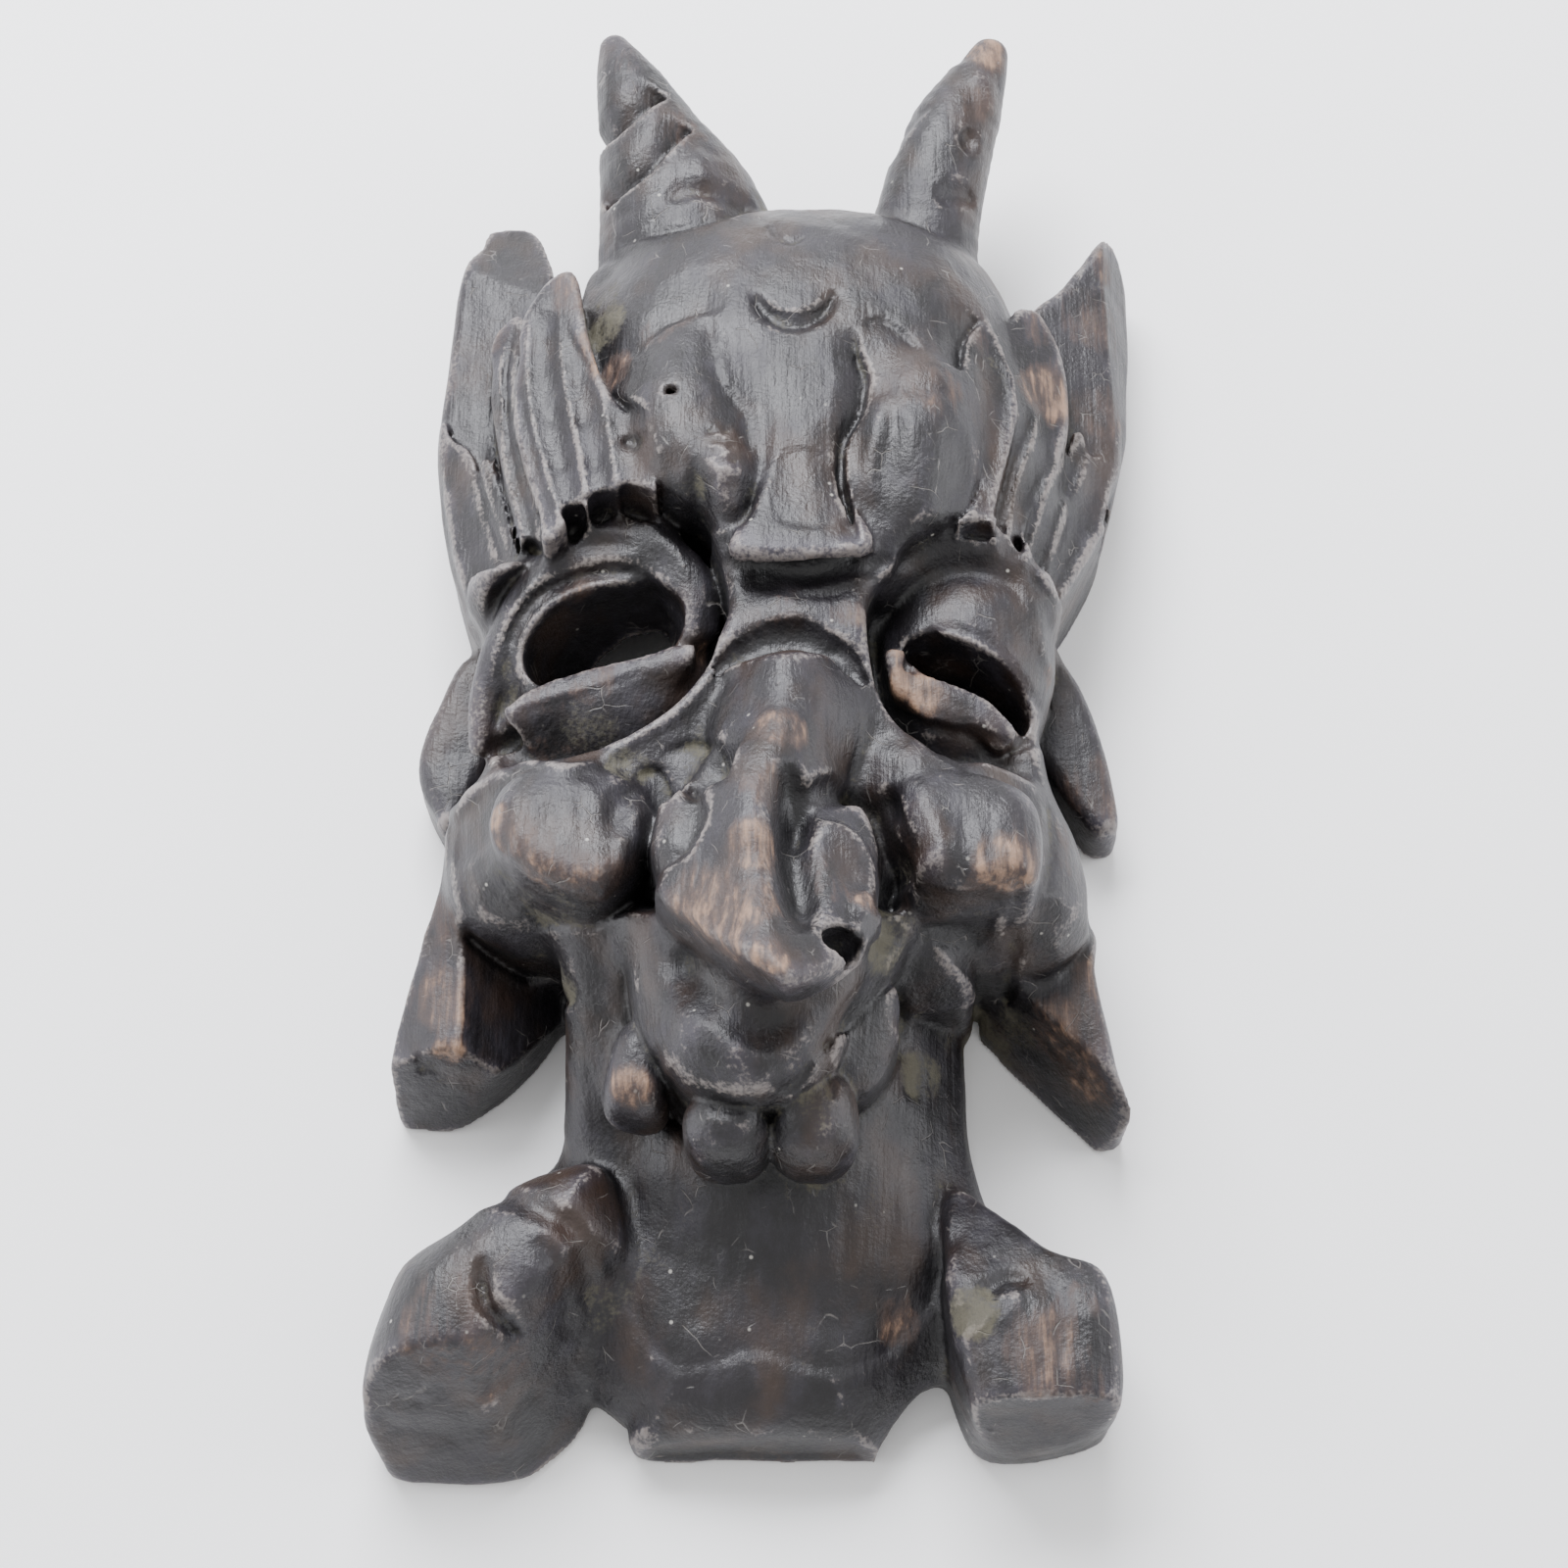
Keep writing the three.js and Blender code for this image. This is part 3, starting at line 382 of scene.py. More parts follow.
# horns
join(limb([
    [-19, 118, 34, 30], [-25.5, 150, 38, 23.5], [-34.5, 175, 41, 15.5], [-41, 193, 43, 10],
    [-45.5, 206.5, 43, 5],
], 0.9), 1)
join(limb([
    [40, 116, 34, 19.5], [45.5, 146, 39, 15.5], [52, 172, 42, 13.8], [60, 191, 44, 9.5],
    [65, 203, 44, 6],
], 0.95), 1)
# eye sockets, cut straight down under the brow
cut(slab([
    [-76, -24], [-68, -32], [-56, -35], [-36, -33], [-24, -26], [-16, -16], [-12, -4], [-11, 7],
    [-14, 20], [-20, 31], [-29, 37], [-39, 39], [-47, 36], [-54, 31], [-63, 26], [-80, 12],
    [-88, -8],
], 49, 132, 6), 3)
cut(slab([
    [26, -8], [26, 2], [29, 12], [35, 20], [43, 27], [53, 31], [62, 31], [68, 28], [73, 22],
    [88, 6], [88, -20], [80, -36], [66, -36], [57, -35], [47, -35], [36, -31], [29, -22],
], 50, 132, 6), 3)
# locks of hair at the left temple: boards side by side, each a step above the next
join(ball([-56, 64, 34], [20, 42, 28], -8), 6)
join(slab([
    [-92, 84], [-88, 78], [-82, 69], [-78, 56], [-74, 42], [-71, 31], [-68, 14], [-79, 20],
    [-85, 34], [-89, 54], [-92, 73],
], -6, 41.7, 2, 0.7, 0), 2)
join(slab([
    [-79, 62], [-75, 47], [-71, 34], [-68, 20], [-61, 24], [-63, 31], [-67, 36], [-71, 47],
    [-74, 59], [-77, 65],
], 20, 50.8, 2, 0.6, 0), 1)
join(slab([
    [-70, 108], [-74, 106], [-77, 102], [-78, 93], [-78, 81], [-76, 68], [-73, 54], [-70, 42],
    [-67, 31], [-63, 30], [-59, 29], [-59, 38], [-63, 52], [-66, 69], [-68, 87], [-67, 102],
], -6, 55.6, 2, 0.5, -0.1), 1)
join(slab([
    [-55, 114], [-60, 112], [-64, 107], [-67, 100], [-68, 90], [-69, 78], [-68, 63], [-64, 47],
    [-60, 34], [-58, 25], [-53, 28], [-53, 33], [-47, 34], [-47, 36], [-39, 37], [-38, 38],
    [-33, 36], [-28, 34], [-27, 40], [-29, 53], [-35, 63], [-42, 71], [-45, 79], [-48, 89],
    [-50, 100], [-52, 110],
], 46, 71.5, 2, 0.3, -0.1), 1)
# locks of hair at the right temple
join(ball([64, 62, 34], [19, 40, 27], 8), 6)
join(slab([
    [99, 85], [99, 73], [97, 63], [94, 51], [89, 40], [83, 29], [77, 20], [72, 27], [70, 28],
    [69, 31], [73, 42], [78, 56], [83, 68], [85, 76], [88, 77], [90, 71], [96, 76],
], -6, 41.5, 2, -0.6, 0), 1)
join(slab([
    [70, 110], [76, 111], [80, 103], [83, 91], [83, 78], [81, 65], [75, 50], [71, 36], [68, 25],
    [68, 29], [65, 32], [61, 34], [58, 34], [61, 45], [65, 58], [67, 70], [67, 82], [65, 94],
    [67, 104],
], -6, 56.3, 2, -0.45, -0.1), 1)
join(slab([
    [60, 99], [58, 94], [57, 82], [58, 71], [56, 54], [54, 40], [49, 29], [53, 29], [58, 29],
    [60, 28], [63, 42], [66, 55], [68, 68], [68, 75], [67, 82], [63, 92],
], 46, 68.7, 2, -0.25, -0.12), 1)
# left eye: the ball, the rim of the upper lid, the hole and the lower lid
join(ball([-42, 4, 33], [33, 37, 29], 20, 0, 0, 2.3), 2)
join(limb([
    [-75, -22, 45, 3], [-73.5, -8, 48, 4.5], [-68, 8, 51, 5.5], [-58.5, 21, 54, 6],
    [-45, 26, 56, 6], [-32, 23.5, 57, 6], [-23, 13, 58, 5], [-19.5, 4, 58, 3],
], 1), 3)
join(limb([
    [-66, 20, 45, 5], [-58, 29, 50, 6.5], [-48, 33, 54, 7], [-36, 33, 57, 7], [-25, 28, 59, 6.5],
    [-18, 17, 59, 6], [-16, 6, 57, 5],
], 1), 4)
cut(ball([-43, 3, 70], [23, 14.5, 50], 20), 1)
hold()
join(slab([
    [-68, -17], [-57, -10], [-46, -6], [-33, -3], [-19, -1], [-23, -12], [-31, -22], [-40, -29],
    [-48, -31], [-60, -27],
], 26, 70, 1.5), 0)
pare([-62, -15, 59], [-26, -6, 62], [-46, -4, 59], [-80, -50, 20], [0, 20, 90], 1)
pare([-62, -19, 58], [-26, -8, 61], [-46, -29, 46], [-80, -50, 20], [0, 20, 90], 2)
lay(1)
# right eye: a heavy upper lid over a narrow hole
join(ball([51.5, 1, 34], [25, 33, 30], -12, 0, 0, 2.3), 2)
join(limb([
    [32, 20, 56, 5], [38, 26, 58, 6], [48, 29, 59, 6], [58, 29, 58, 6], [67, 24, 54, 5],
    [72, 14, 50, 4],
], 1), 6)
cut(ball([53, -9, 70], [20, 7, 54], -30), 1)
join(slab([
    [31.5, -3], [36, -2.6], [35.8, -8], [42.5, -9.5], [49, -11.7], [56.6, -15], [61.4, -20],
    [65, -24.3], [62, -27.4], [58, -27], [52, -24], [45, -22.5], [38, -20], [32, -14.5],
    [30.5, -5],
], 24, 61, 0.8, -0.1, 0.05), 0.6)
cut(limb([[30, -21, 62, 2], [42, -28, 62, 4.5], [54, -28, 61, 5], [64, -32, 58, 3]], 1), 1)
# the slit under the brow plate and the crease over the nose
cut(limb([
    [-15, 17, 74, 2], [-4, 14, 77, 3.6], [8, 12, 78, 4.4], [20, 14, 77, 3.6], [32, 17, 74, 2],
], 1), 0.6)
cut(limb([[-14, -16, 74, 2], [-6, -10, 76, 4], [6, -6, 78, 6], [17, -10, 76, 4], [24, -17, 74, 2]], 1), 1)
# hollows beside the nose wing and at the corner of the mouth, and the nostril
cut(ball([-15, -46, 90], [8, 8, 9]), 3)
cut(ball([-30, -47, 82], [6, 5, 6]), 2)
cut(limb([[17, -42, 92, 3], [26, -46, 88, 5], [31, -58, 86, 4], [31, -72, 84, 3]], 1), 2)
cut(ball([17, -99, 99], [6, 5, 8], 14), 1.5)
cut(ball([41, -90, 64], [8, 7, 9], 20), 5)


# The relief: gouge lines, stop cuts, scoops and worn borders cut into the roughed-out forms
# Each is a line or an outline in plan, which moves the face of the wood in or out by its depth,
# down to RELIEF_FLOOR above the back, or to a floor of its own where another form lies under it.
RELIEF_FLOOR = 20.0
CEILING = 400


def follow(points, x, y):
    p = bend(points, 6)
    lengths = np.linalg.norm(np.diff(p[:, :2], axis=0), axis=1)
    best = np.full(np.broadcast(x, y).shape, 1e9, np.float32)
    along, side, run = np.zeros_like(best), np.zeros_like(best), 0.0
    for a, b, s in zip(p[:-1], p[1:], lengths):
        ex, ey = b[0] - a[0], b[1] - a[1]
        wx, wy = x - a[0], y - a[1]
        h = np.clip((wx * ex + wy * ey) / max(s * s, 1e-9), 0, 1)
        d = (wx - ex * h) ** 2 + (wy - ey * h) ** 2
        near = d < best
        best = np.where(near, d, best)
        along = np.where(near, (run + h * s) / lengths.sum(), along)
        side = np.where(near, np.sign(ex * wy - ey * wx), side)
        run += s
    return np.sqrt(best), along, side


def taper(along, ends):
    s = np.clip(np.minimum(along, 1 - along) / ends, 0, 1)
    return s * (2 - s)


def over(points, width, above):
    p = bend(points, 6)
    low, high = p[:, :2].min(0) - width, p[:, :2].max(0) + width
    return inside_box([*low, above], [*high, CEILING])


# a gouge cut along a curve, from the front; a negative depth leaves a ridge
def groove(points, width, depth, ends=0.25, above=RELIEF_FLOOR, sharp=0):
    spans, x, y, _ = over(points, width, above)
    gap, along, _ = follow(points, x, y)
    t = taper(along, ends)
    s = np.clip(1 - gap / np.maximum(width * (0.4 + 0.6 * t), 1e-3), 0, 1)
    section = (s * s * (3 - 2 * s), s, s * s)[sharp]
    bench["wood"][spans] += (depth * t * section).astype(np.float32)


# a stop cut: a steep wall along the curve, with the wood on its left pared down to meet it
def scarp(points, width, depth, ends=0.2, above=RELIEF_FLOOR, wall=1.0):
    spans, x, y, _ = over(points, width, above)
    gap, along, side = follow(points, x, y)
    s = np.clip(1 - gap / width, 0, 1)
    left = np.clip(0.5 + side * gap / (2 * wall), 0, 1)
    bench["wood"][spans] += (depth * taper(along, ends) * s * (0.35 + 0.65 * s) * left).astype(np.float32)


# the face raised inside an outline, or sunk by a negative height, and rounded off over the edge
def pillow(points, height, edge):
    loop = bend(points, 5, closed=True)
    spans, x, y, _ = inside_box([*loop.min(0), RELIEF_FLOOR], [*loop.max(0), CEILING])
    s = np.clip(-outline_gap(loop, x, y) / edge, 0, 1)
    bench["wood"][spans] -= (height * np.sqrt(1 - (1 - s) ** 2)).astype(np.float32)


# the face scooped hollow between two lines, which are left standing as ridges
def flute(first, second, depth):
    loop = np.concatenate([bend(first, 6)[:, :2], bend(second, 6)[::-1, :2]])
    spans, x, y, _ = inside_box([*loop.min(0), RELIEF_FLOOR], [*loop.max(0), CEILING])
    gap, along, _ = follow(first, x, y)
    share = gap / (gap + follow(second, x, y)[0] + 1e-6)
    inside = np.clip(0.5 - outline_gap(loop, x, y), 0, 1)
    run = np.clip(along / 0.2, 0, 1)
    bench["wood"][spans] += (depth * 4 * share * (1 - share) * inside * run * (2 - run)).astype(np.float32)


# the locks at the left temple hollowed between their ridges
ridges = (
    [
        [-67, 99.9], [-68.5, 90.1], [-69, 78.1], [-67.7, 63.4], [-63.9, 47.3], [-60.1, 34],
        [-57.5, 23.9],
    ],
    [[-65.4, 102.3], [-65.4, 82.7], [-62.4, 62.4], [-57.5, 43.6], [-52.6, 27.1]],
    [[-57, 98.5], [-55.2, 80.6], [-53, 67], [-49.8, 52.2], [-46.7, 34]],
    [[-45.3, 75.9], [-42.7, 62.4], [-40.5, 47.9], [-38.7, 36.9]],
    [[-30.5, 57.4], [-27.2, 40.4], [-27.4, 33]],
)
for first, second, depth in zip(ridges, ridges[1:], (1.2, 2, 1.8, 2)):
    flute(first, second, depth)
ridges = (
    [
        [-75.4, 103.3], [-78.3, 93.3], [-78.4, 81.1], [-76, 68.3], [-73.3, 54.3], [-69.8, 41.7],
        [-66.7, 30.7],
    ],
    [[-71.5, 104], [-73.9, 91.8], [-72.9, 77.9], [-71.5, 60.3], [-67.5, 43.5], [-64.7, 30.7]],
    [
        [-68.7, 102.3], [-70.2, 94.6], [-70.6, 85.2], [-69.1, 70], [-65.1, 53.1], [-61.2, 39.1],
        [-58.5, 27.6],
    ],
)
for first, second, depth in zip(ridges, ridges[1:], (1.6, 1.6)):
    flute(first, second, depth)
flute([
    [-92, 84.2], [-91.4, 67.5], [-87.5, 46], [-81.3, 26.6],
], [[-87.5, 78.5], [-82.3, 68.7], [-78.2, 55.8], [-74.1, 41.9], [-67.8, 21.5]], 1.2)
for line in (
    [[-58.2, 62.8], [-55.9, 63.9], [-53.4, 64.2]],
    [[-50.8, 59.8], [-49.1, 61.5], [-47.3, 61.7]],
    [[-57.5, 47.1], [-54.9, 48.1], [-52, 48]],
    [[-47.7, 45.5], [-45.3, 46.5], [-42.5, 46.3]],
):
    groove(line, 3, 0.5)
# the hollow between the locks and the brow, scored along its length
cut(limb([[-44, 104, 72, 4], [-41, 92, 75, 6], [-38, 80, 78, 5], [-36, 70, 80, 3]], 1), 3)
for line in (
    [[-46, 100.6], [-45.4, 87.8], [-43.6, 71.1]],
    [[-43.3, 99.2], [-42.8, 85.8], [-41.5, 72.1]],
    [[-40.6, 95.2], [-40.4, 83], [-39.4, 69.6]],
    [[-38, 90.4], [-38.1, 80.7], [-37.5, 70.3]],
):
    groove(line, 2.5, 0.7, 0.3)
# the left brow: its worn top line, border, nail hole and chatter marks
scarp([[-35.4, 79.7], [-31.3, 85.4], [-25, 89.8], [-16.6, 92.4], [-14.2, 90.9]], 9, 1.6, 0.15, 20, 0.8)
scarp([
    [-3.9, 45.6], [-4.2, 55.8], [-6.8, 61.6], [-11.5, 68.4], [-13.5, 77.8], [-14.6, 91],
], 6, 1.2, 0.15, 20, 0.8)
cut(limb([[-25.1, 63.5, 85.9, 1.7], [-25.1, 63.5, 73.9, 1.7]], 1), 0.6)
groove([[-38.7, 52.3], [-35.6, 52.7], [-32.1, 50]], 4, 1.2)
scarp([[-32.3, 51.9], [-35.6, 54.3], [-38.3, 54.4]], 3, 0.8)
groove([[-13.1, 38], [-13, 35.3], [-11.8, 33.9], [-10.5, 33.8], [-9.4, 35], [-8.9, 36.8]], 2.4, 0.8, 0.3)
groove([
    [-14.4, 38.9], [-14.1, 34.7], [-12.3, 32.4], [-10.2, 32.2], [-8.4, 34], [-7.7, 37.1],
], 2.4, 0.9, 0.3)
groove([[-15.6, 39.9], [-15.3, 34.2], [-12.7, 31], [-9.8, 30.6], [-7.4, 33.1], [-6.4, 37.6]], 2.4, 1, 0.3)
groove([[-16.9, 41], [-16.4, 33.8], [-13.2, 29.7], [-9.5, 29.2], [-6.5, 32.4], [-5.1, 38.3]], 2.4, 1, 0.3)
groove([
    [-18.3, 42.2], [-17.7, 33.3], [-13.7, 28.3], [-9.1, 27.7], [-5.3, 31.6], [-3.7, 39.1],
], 2.4, 0.9, 0.3)
groove([[-19.7, 43.3], [-19, 32.8], [-14.2, 27], [-8.8, 26.2], [-4.2, 30.4], [-2.2, 39.4]], 2.4, 0.8, 0.3)
for line in (
    [[-16, 49.1], [-14.3, 50], [-12.6, 49.3]],
    [[-14.7, 45.5], [-12.7, 46.3], [-10.7, 45.8]],
    [[-15.3, 42.3], [-13.5, 42.7], [-11.6, 41.9]],
    [[-13.3, 38.8], [-11.8, 39.5], [-10.3, 38.9]],
    [[-11.9, 49.3], [-10.6, 50.8], [-9.3, 50.5]],
    [[-10.5, 43.6], [-9.2, 45.1], [-7.9, 45]],
    [[-9.8, 39.3], [-8.6, 40.5], [-7.4, 40.3]],
):
    groove(line, 2.2, 0.9, 0.3)
scarp([
    [-16.9, 52.4], [-18.8, 45.1], [-18.5, 37.5], [-16.7, 30.6], [-11.6, 25.5], [-6.6, 24.5],
    [-3.6, 27.7], [-1.8, 38],
], 6, 1, 0.3, 20, 1.5)
# the flat over the nail and the fold under the brow
groove([[-25.1, 53.8], [-21.9, 47.9], [-20.8, 41.2], [-21.8, 35.4]], 7, -0.9, 0.4)
groove([[-27, 46.3], [-25.4, 39.8], [-21.9, 33.9], [-16.8, 26.8]], 8, 1.6, 0.35)
# the locks at the right temple hollowed between their ridges
flute([
    [58, 95.2], [58.3, 81.7], [58.3, 70.9], [56.4, 53.6], [53.6, 40.3], [49.2, 28.9],
], [[63.5, 91.8], [67.2, 81.9], [68.4, 74], [67.9, 67.3], [65.6, 55.1], [62.5, 41.7], [60.4, 28.1]], 1.8)
ridges = (
    [[69.4, 74.2], [64.6, 57.7], [61.4, 45.2], [58.7, 33.1]],
    [[74.3, 76.3], [71.4, 62.2], [66.3, 47.8], [63.7, 31.3]],
    [[80.1, 102.6], [83.5, 91.3], [83.3, 77.7], [80.9, 65], [75.2, 50.3], [71.2, 36.5], [68, 25.6]],
)
for first, second, depth in zip(ridges, ridges[1:], (1.6, 2)):
    flute(first, second, depth)
flute([
    [85.1, 76.1], [83, 67.8], [78.5, 56.3], [73.4, 42.3], [69.4, 30.1],
], [[89, 72.5], [86.8, 64.2], [81.7, 52.5], [77.7, 38.9], [73.8, 25.6]], 1.4)
flute([
    [90, 70.4], [87.3, 61.9], [82.8, 50.4], [78.8, 38.1], [74.9, 24.8],
], [[98.1, 78.3], [97.4, 65.4], [91.8, 48.6], [84.3, 33.8], [78.1, 21.1]], 1.6)
# the right brow: its border, top line and the worn ridges on it
scarp([
    [23.9, 16.3], [22.4, 27.5], [20.3, 40.5], [20.9, 50.9], [25.1, 59.6], [26.8, 70.5],
    [24.8, 78.1], [23.4, 86.9],
], 9, 3.6, 0.12, 20, 0.8)
scarp([[41.3, 79.7], [36, 86.9], [29.9, 90.3], [25.1, 88.1]], 8, 1.6, 0.15, 20, 0.8)
groove([[31.5, 64.8], [28.9, 52.7], [27.1, 41.5], [27.4, 31.7]], 7, -1.8, 0.3)
groove([[31.8, 62.1], [32.1, 51.9], [30, 42.1], [28.9, 34.7]], 4, 0.8, 0.3)
groove([[36.3, 58.4], [37.7, 53.2], [38.3, 46.2]], 3.5, -0.5, 0.3)
groove([[35.4, 63.9], [40.5, 65.4], [46.8, 65.3]], 6, 0.9, 0.3)
groove([[47.6, 55.8], [49.5, 46.3], [48.3, 36.5], [45.1, 29.2]], 8, 1.6, 0.35)
scarp([[52.1, 75.6], [53.4, 87.4], [58.1, 97.5]], 10, 3, 0.15, 20, 0.7)
# the plate between the brows: a shallow sunk panel, rubbed uneven
pillow([[2, 24], [18, 23], [18, 44], [4, 46]], -0.7, 3)
# a raised shaving on the right ear and the nick in its side
groove([[95.3, 55.7], [93.8, 51.6], [99.3, 68.3]], 3, 1.8, 0.3)
# the left horn: three stop cuts and a swirl at its root
scarp([[-49.2, 168.9], [-43.6, 169.5], [-37.8, 173.4], [-29.5, 182.1]], 12, 5.2, 0.08, 20, 0.9)
scarp([[-46.3, 146.4], [-40.3, 148.6], [-33.4, 152.7], [-21.8, 169.4]], 10, 4.6, 0.08, 20, 0.9)
groove([[-23.2, 159], [-19.2, 155.9], [-18.6, 149.4], [-21.5, 145.5]], 6, -1.4, 0.3)
groove([[-29.5, 141], [-20.7, 145.2], [-9, 143.3], [-3.1, 145.4]], 6, 1.8)
scarp([[-43, 129.9], [-33.8, 129.6], [-23.4, 129.7], [-13.2, 133.5], [-4.6, 142]], 8, 2, 0.15, 20, 1.2)
groove([[-36.9, 134.3], [-25, 137.7], [-14.8, 136.9]], 5, 0.7)
# the right horn: thumb marks and a scoop at its root
cut(ball([58.7, 165.8, 53.6], [4, 5, 3]), 1)
groove([[48.1, 144.2], [53.5, 148.7], [59.8, 150]], 5, 1.8)
groove([[60.7, 192.5], [63.8, 184], [65.4, 175.8]], 5, -1, 0.3)
scarp([[36, 163.7], [40.3, 171.4], [48.1, 178.9]], 8, 1.4)
scarp([[48.8, 232], [55, 198.1], [65.8, 202.6]], 10, 1.2, 0.3, 20, 2)
groove([[73, 216.8], [74.2, 204.8], [75.4, 193]], 4, 0.8, 0.3)
# the crown: a deep crescent gouge, a small one above it, and soft facets
groove([[-4.4, 98.5], [0.1, 91.1], [7.1, 87.4], [14.1, 91.1], [18.7, 100]], 3.4, 2.4, 0.3, 20, 1)
scarp([[18.7, 101.7], [14.2, 94.2], [7.1, 91.4], [0.4, 94.2], [-4.4, 101.1]], 6, 1.2, 0.2, 20, 0.5)
groove([[-0, 126.6], [2.9, 121.1], [6.5, 118.6], [11.5, 122.4]], 2.2, 1, 0.3)
scarp([[16.7, 131.7], [23.1, 125.5], [34.4, 116.7], [42.9, 109.8]], 14, 0.7, 0.3, 20, 4)
scarp([[-14.4, 120.9], [-5.7, 115.3], [2.9, 108.6]], 12, 0.6, 0.3, 20, 4)
groove([[22.8, 108.8], [31.1, 99.5], [35.1, 87.3]], 10, 0.7, 0.4)
groove([[-28.1, 94.3], [-19.7, 100.1], [-9.8, 99.1]], 10, 0.7, 0.4)
groove([[35.7, 150.6], [41.3, 139], [53.2, 134.1]], 10, 0.8, 0.4)
# the left eye: the step round the upper lid, the tear pocket and the worn rim of the socket
scarp([
    [-23.5, 11.7], [-26.9, 16.1], [-31.5, 20.5], [-37.2, 22.8], [-45.5, 22.7], [-53.3, 20.6],
    [-60.9, 16], [-66.8, 8.6], [-69, 2.1],
], 6, 2.4, 0.1, 20, 0.6)
groove([
    [-72.4, -8], [-70.8, 1], [-67, 9.1], [-60, 19.6], [-55.4, 25.6], [-49.9, 31], [-42.6, 31.8],
    [-35.2, 30.6],
], 4, -1, 0.2)
cut(ball([-68.3, -22.3, 49], [6, 3.6, 6], 20), 1.5)
groove([[-22.7, 33.4], [-16, 24], [-12.9, 12.5], [-13.4, 2.1], [-16.5, -5.4]], 7, 1.6)
groove([
    [-12.4, -10.8], [-15.3, -18.4], [-21.6, -25], [-32.4, -32.5], [-42, -38.8], [-51.2, -43.1],
    [-67.2, -28.1],
], 4, -1.3, 0.15)
groove([[-49.8, 27.9], [-41.5, 28.6], [-34.2, 27.1]], 3, 0.5)
groove([[-63.6, -5.7], [-65.7, -9.9], [-66.8, -17.8]], 3, 0.8)
groove([[-32.1, 35.3], [-24.9, 30.5], [-19.6, 21], [-18, 11.3]], 3, 0.6)
scarp([
    [-31.5, -6.7], [-38.5, -10.1], [-48.6, -13.9], [-58.7, -16.4], [-65.2, -18.4],
], 3, 0.8, 0.1, 20, 0.6)
# the bridge: the lip under the slit and the arcs that follow the crease over the nose
groove([[-9.1, 12.2], [-2, 10.3], [7, 7], [16, 7.2], [24.1, 10.5]], 3, 0.8)
groove([
    [-13.9, -15.5], [-5.9, -15.2], [2.1, -17.8], [9.9, -16.5], [18, -11.6], [22.9, -14.5],
], 4, -1, 0.15)
for line in (
    [[-7.7, -25.4], [-1.8, -26.7], [5.9, -28.8], [12.2, -31.5]],
    [[-7, -27.9], [-1.8, -28.6], [5.9, -30.6], [11.6, -33.4]],
    [[-6.4, -30.3], [-1.7, -30.5], [5.9, -32.5], [11, -35.3]],
    [[-5.8, -32.8], [-1.7, -32.4], [5.9, -34.4], [10.4, -37.2]],
):
    groove(line, 2.6, 0.5, 0.3)
scarp([[-16.6, -18.8], [-7.7, -24.4], [-7.5, -35.9], [-13.4, -39.7]], 8, 0.8, 0.3, 20, 3)
# gouged hollows between the cheek and the nose wing
scarp([
    [-24.4, -57.3], [-22.2, -52.5], [-25.3, -42.1], [-29.3, -40.4], [-33.1, -43.4],
], 9, 2.2, 0.2, 20, 0.8)
scarp([[-8.1, -58.6], [-9.4, -43.5], [-15.6, -34.4], [-22.5, -34.7], [-27.3, -37.8]], 8, 1.6)
groove([[-33.7, -48.3], [-35.6, -57.2], [-35.8, -65.1]], 7, 1.4, 0.3)
# the right eye: the ring cut round the lid and the chatter across it
groove([
    [45.8, 28.5], [35.4, 22.4], [28.8, 15.9], [26.9, 6.3], [27.9, 1.4], [31.4, -12.9], [37, -20.7],
    [43.2, -36.1], [55.6, -35.6],
], 4, 1.4, 0.12)
groove([
    [37, 22.3], [30.8, 15.6], [29.5, 12.1], [30.2, 0.9], [33.4, -14.5], [38.9, -20.5],
    [45.5, -24.7],
], 4, -0.7, 0.2)
groove([[51.3, 25.8], [59.7, 24], [66, 20.8], [70, 12.8], [73.6, -0.3], [77.6, 0.7]], 4, -0.9, 0.2)
groove([
    [39.7, 3.3], [47.7, 3.4], [56.8, -0.2], [63.9, -6.2], [69.4, -11.6], [73.9, -11.9],
], 2.6, 0.8, 0.15)
for line in (
    [[59.6, 18], [62.2, 7.7], [61.9, -1.5]],
    [[61.9, 14.1], [63.8, 5], [63.8, -3.2]],
    [[64.3, 10.7], [65.4, 2.5], [65.7, -4.7]],
    [[66.7, 7.8], [67.1, 0.3], [67.6, -6]],
    [[69.2, 5.3], [68.8, -1.8], [69.6, -7]],
):
    groove(line, 3, 0.35, 0.4)
groove([[33.2, -13.5], [39.2, -19.8], [45.3, -21.3], [52.3, -22.7], [58.5, -26.4]], 3, 1, 0.15)
scarp([[58.4, -26], [63.6, -26.5], [69.9, -22.2]], 5, 1.6)
groove([[66.4, -13.6], [68.2, -23.8], [75.4, -14.2]], 3, 1, 0.3)
groove([[15, -6.7], [20, -11.1], [25.8, -13.5]], 6, 0.8, 0.4)
# the left cheek: the rim beside it, the striations down its face and the break under it
groove([
    [-58.7, -43.5], [-68, -37.2], [-76.3, -37.7], [-81, -40.3], [-86.1, -35.5], [-81.3, -58.3],
    [-80.2, -65.9], [-77.9, -71.8],
], 5, -2, 0.15)
groove([[-70.2, -41.7], [-74, -44], [-74.8, -50.9], [-74, -58.4]], 8, 2.2)
groove([[-50.6, -45.2], [-41.9, -46.3], [-36.8, -52.5], [-35.9, -61.8]], 5, 1, 0.3)
groove([[-63.8, -52.9], [-62.7, -61.3], [-62.6, -68.1]], 2.4, 0.7, 0.3)
groove([[-59.7, -54.6], [-58.7, -61.8], [-58.1, -69.9]], 2.4, 0.45, 0.3)
groove([[-56.3, -55.7], [-55.4, -62], [-55, -70.9]], 2.4, 0.45, 0.3)
groove([[-53.5, -53.9], [-52.5, -62], [-51.7, -71.8]], 2.4, 0.7, 0.3)
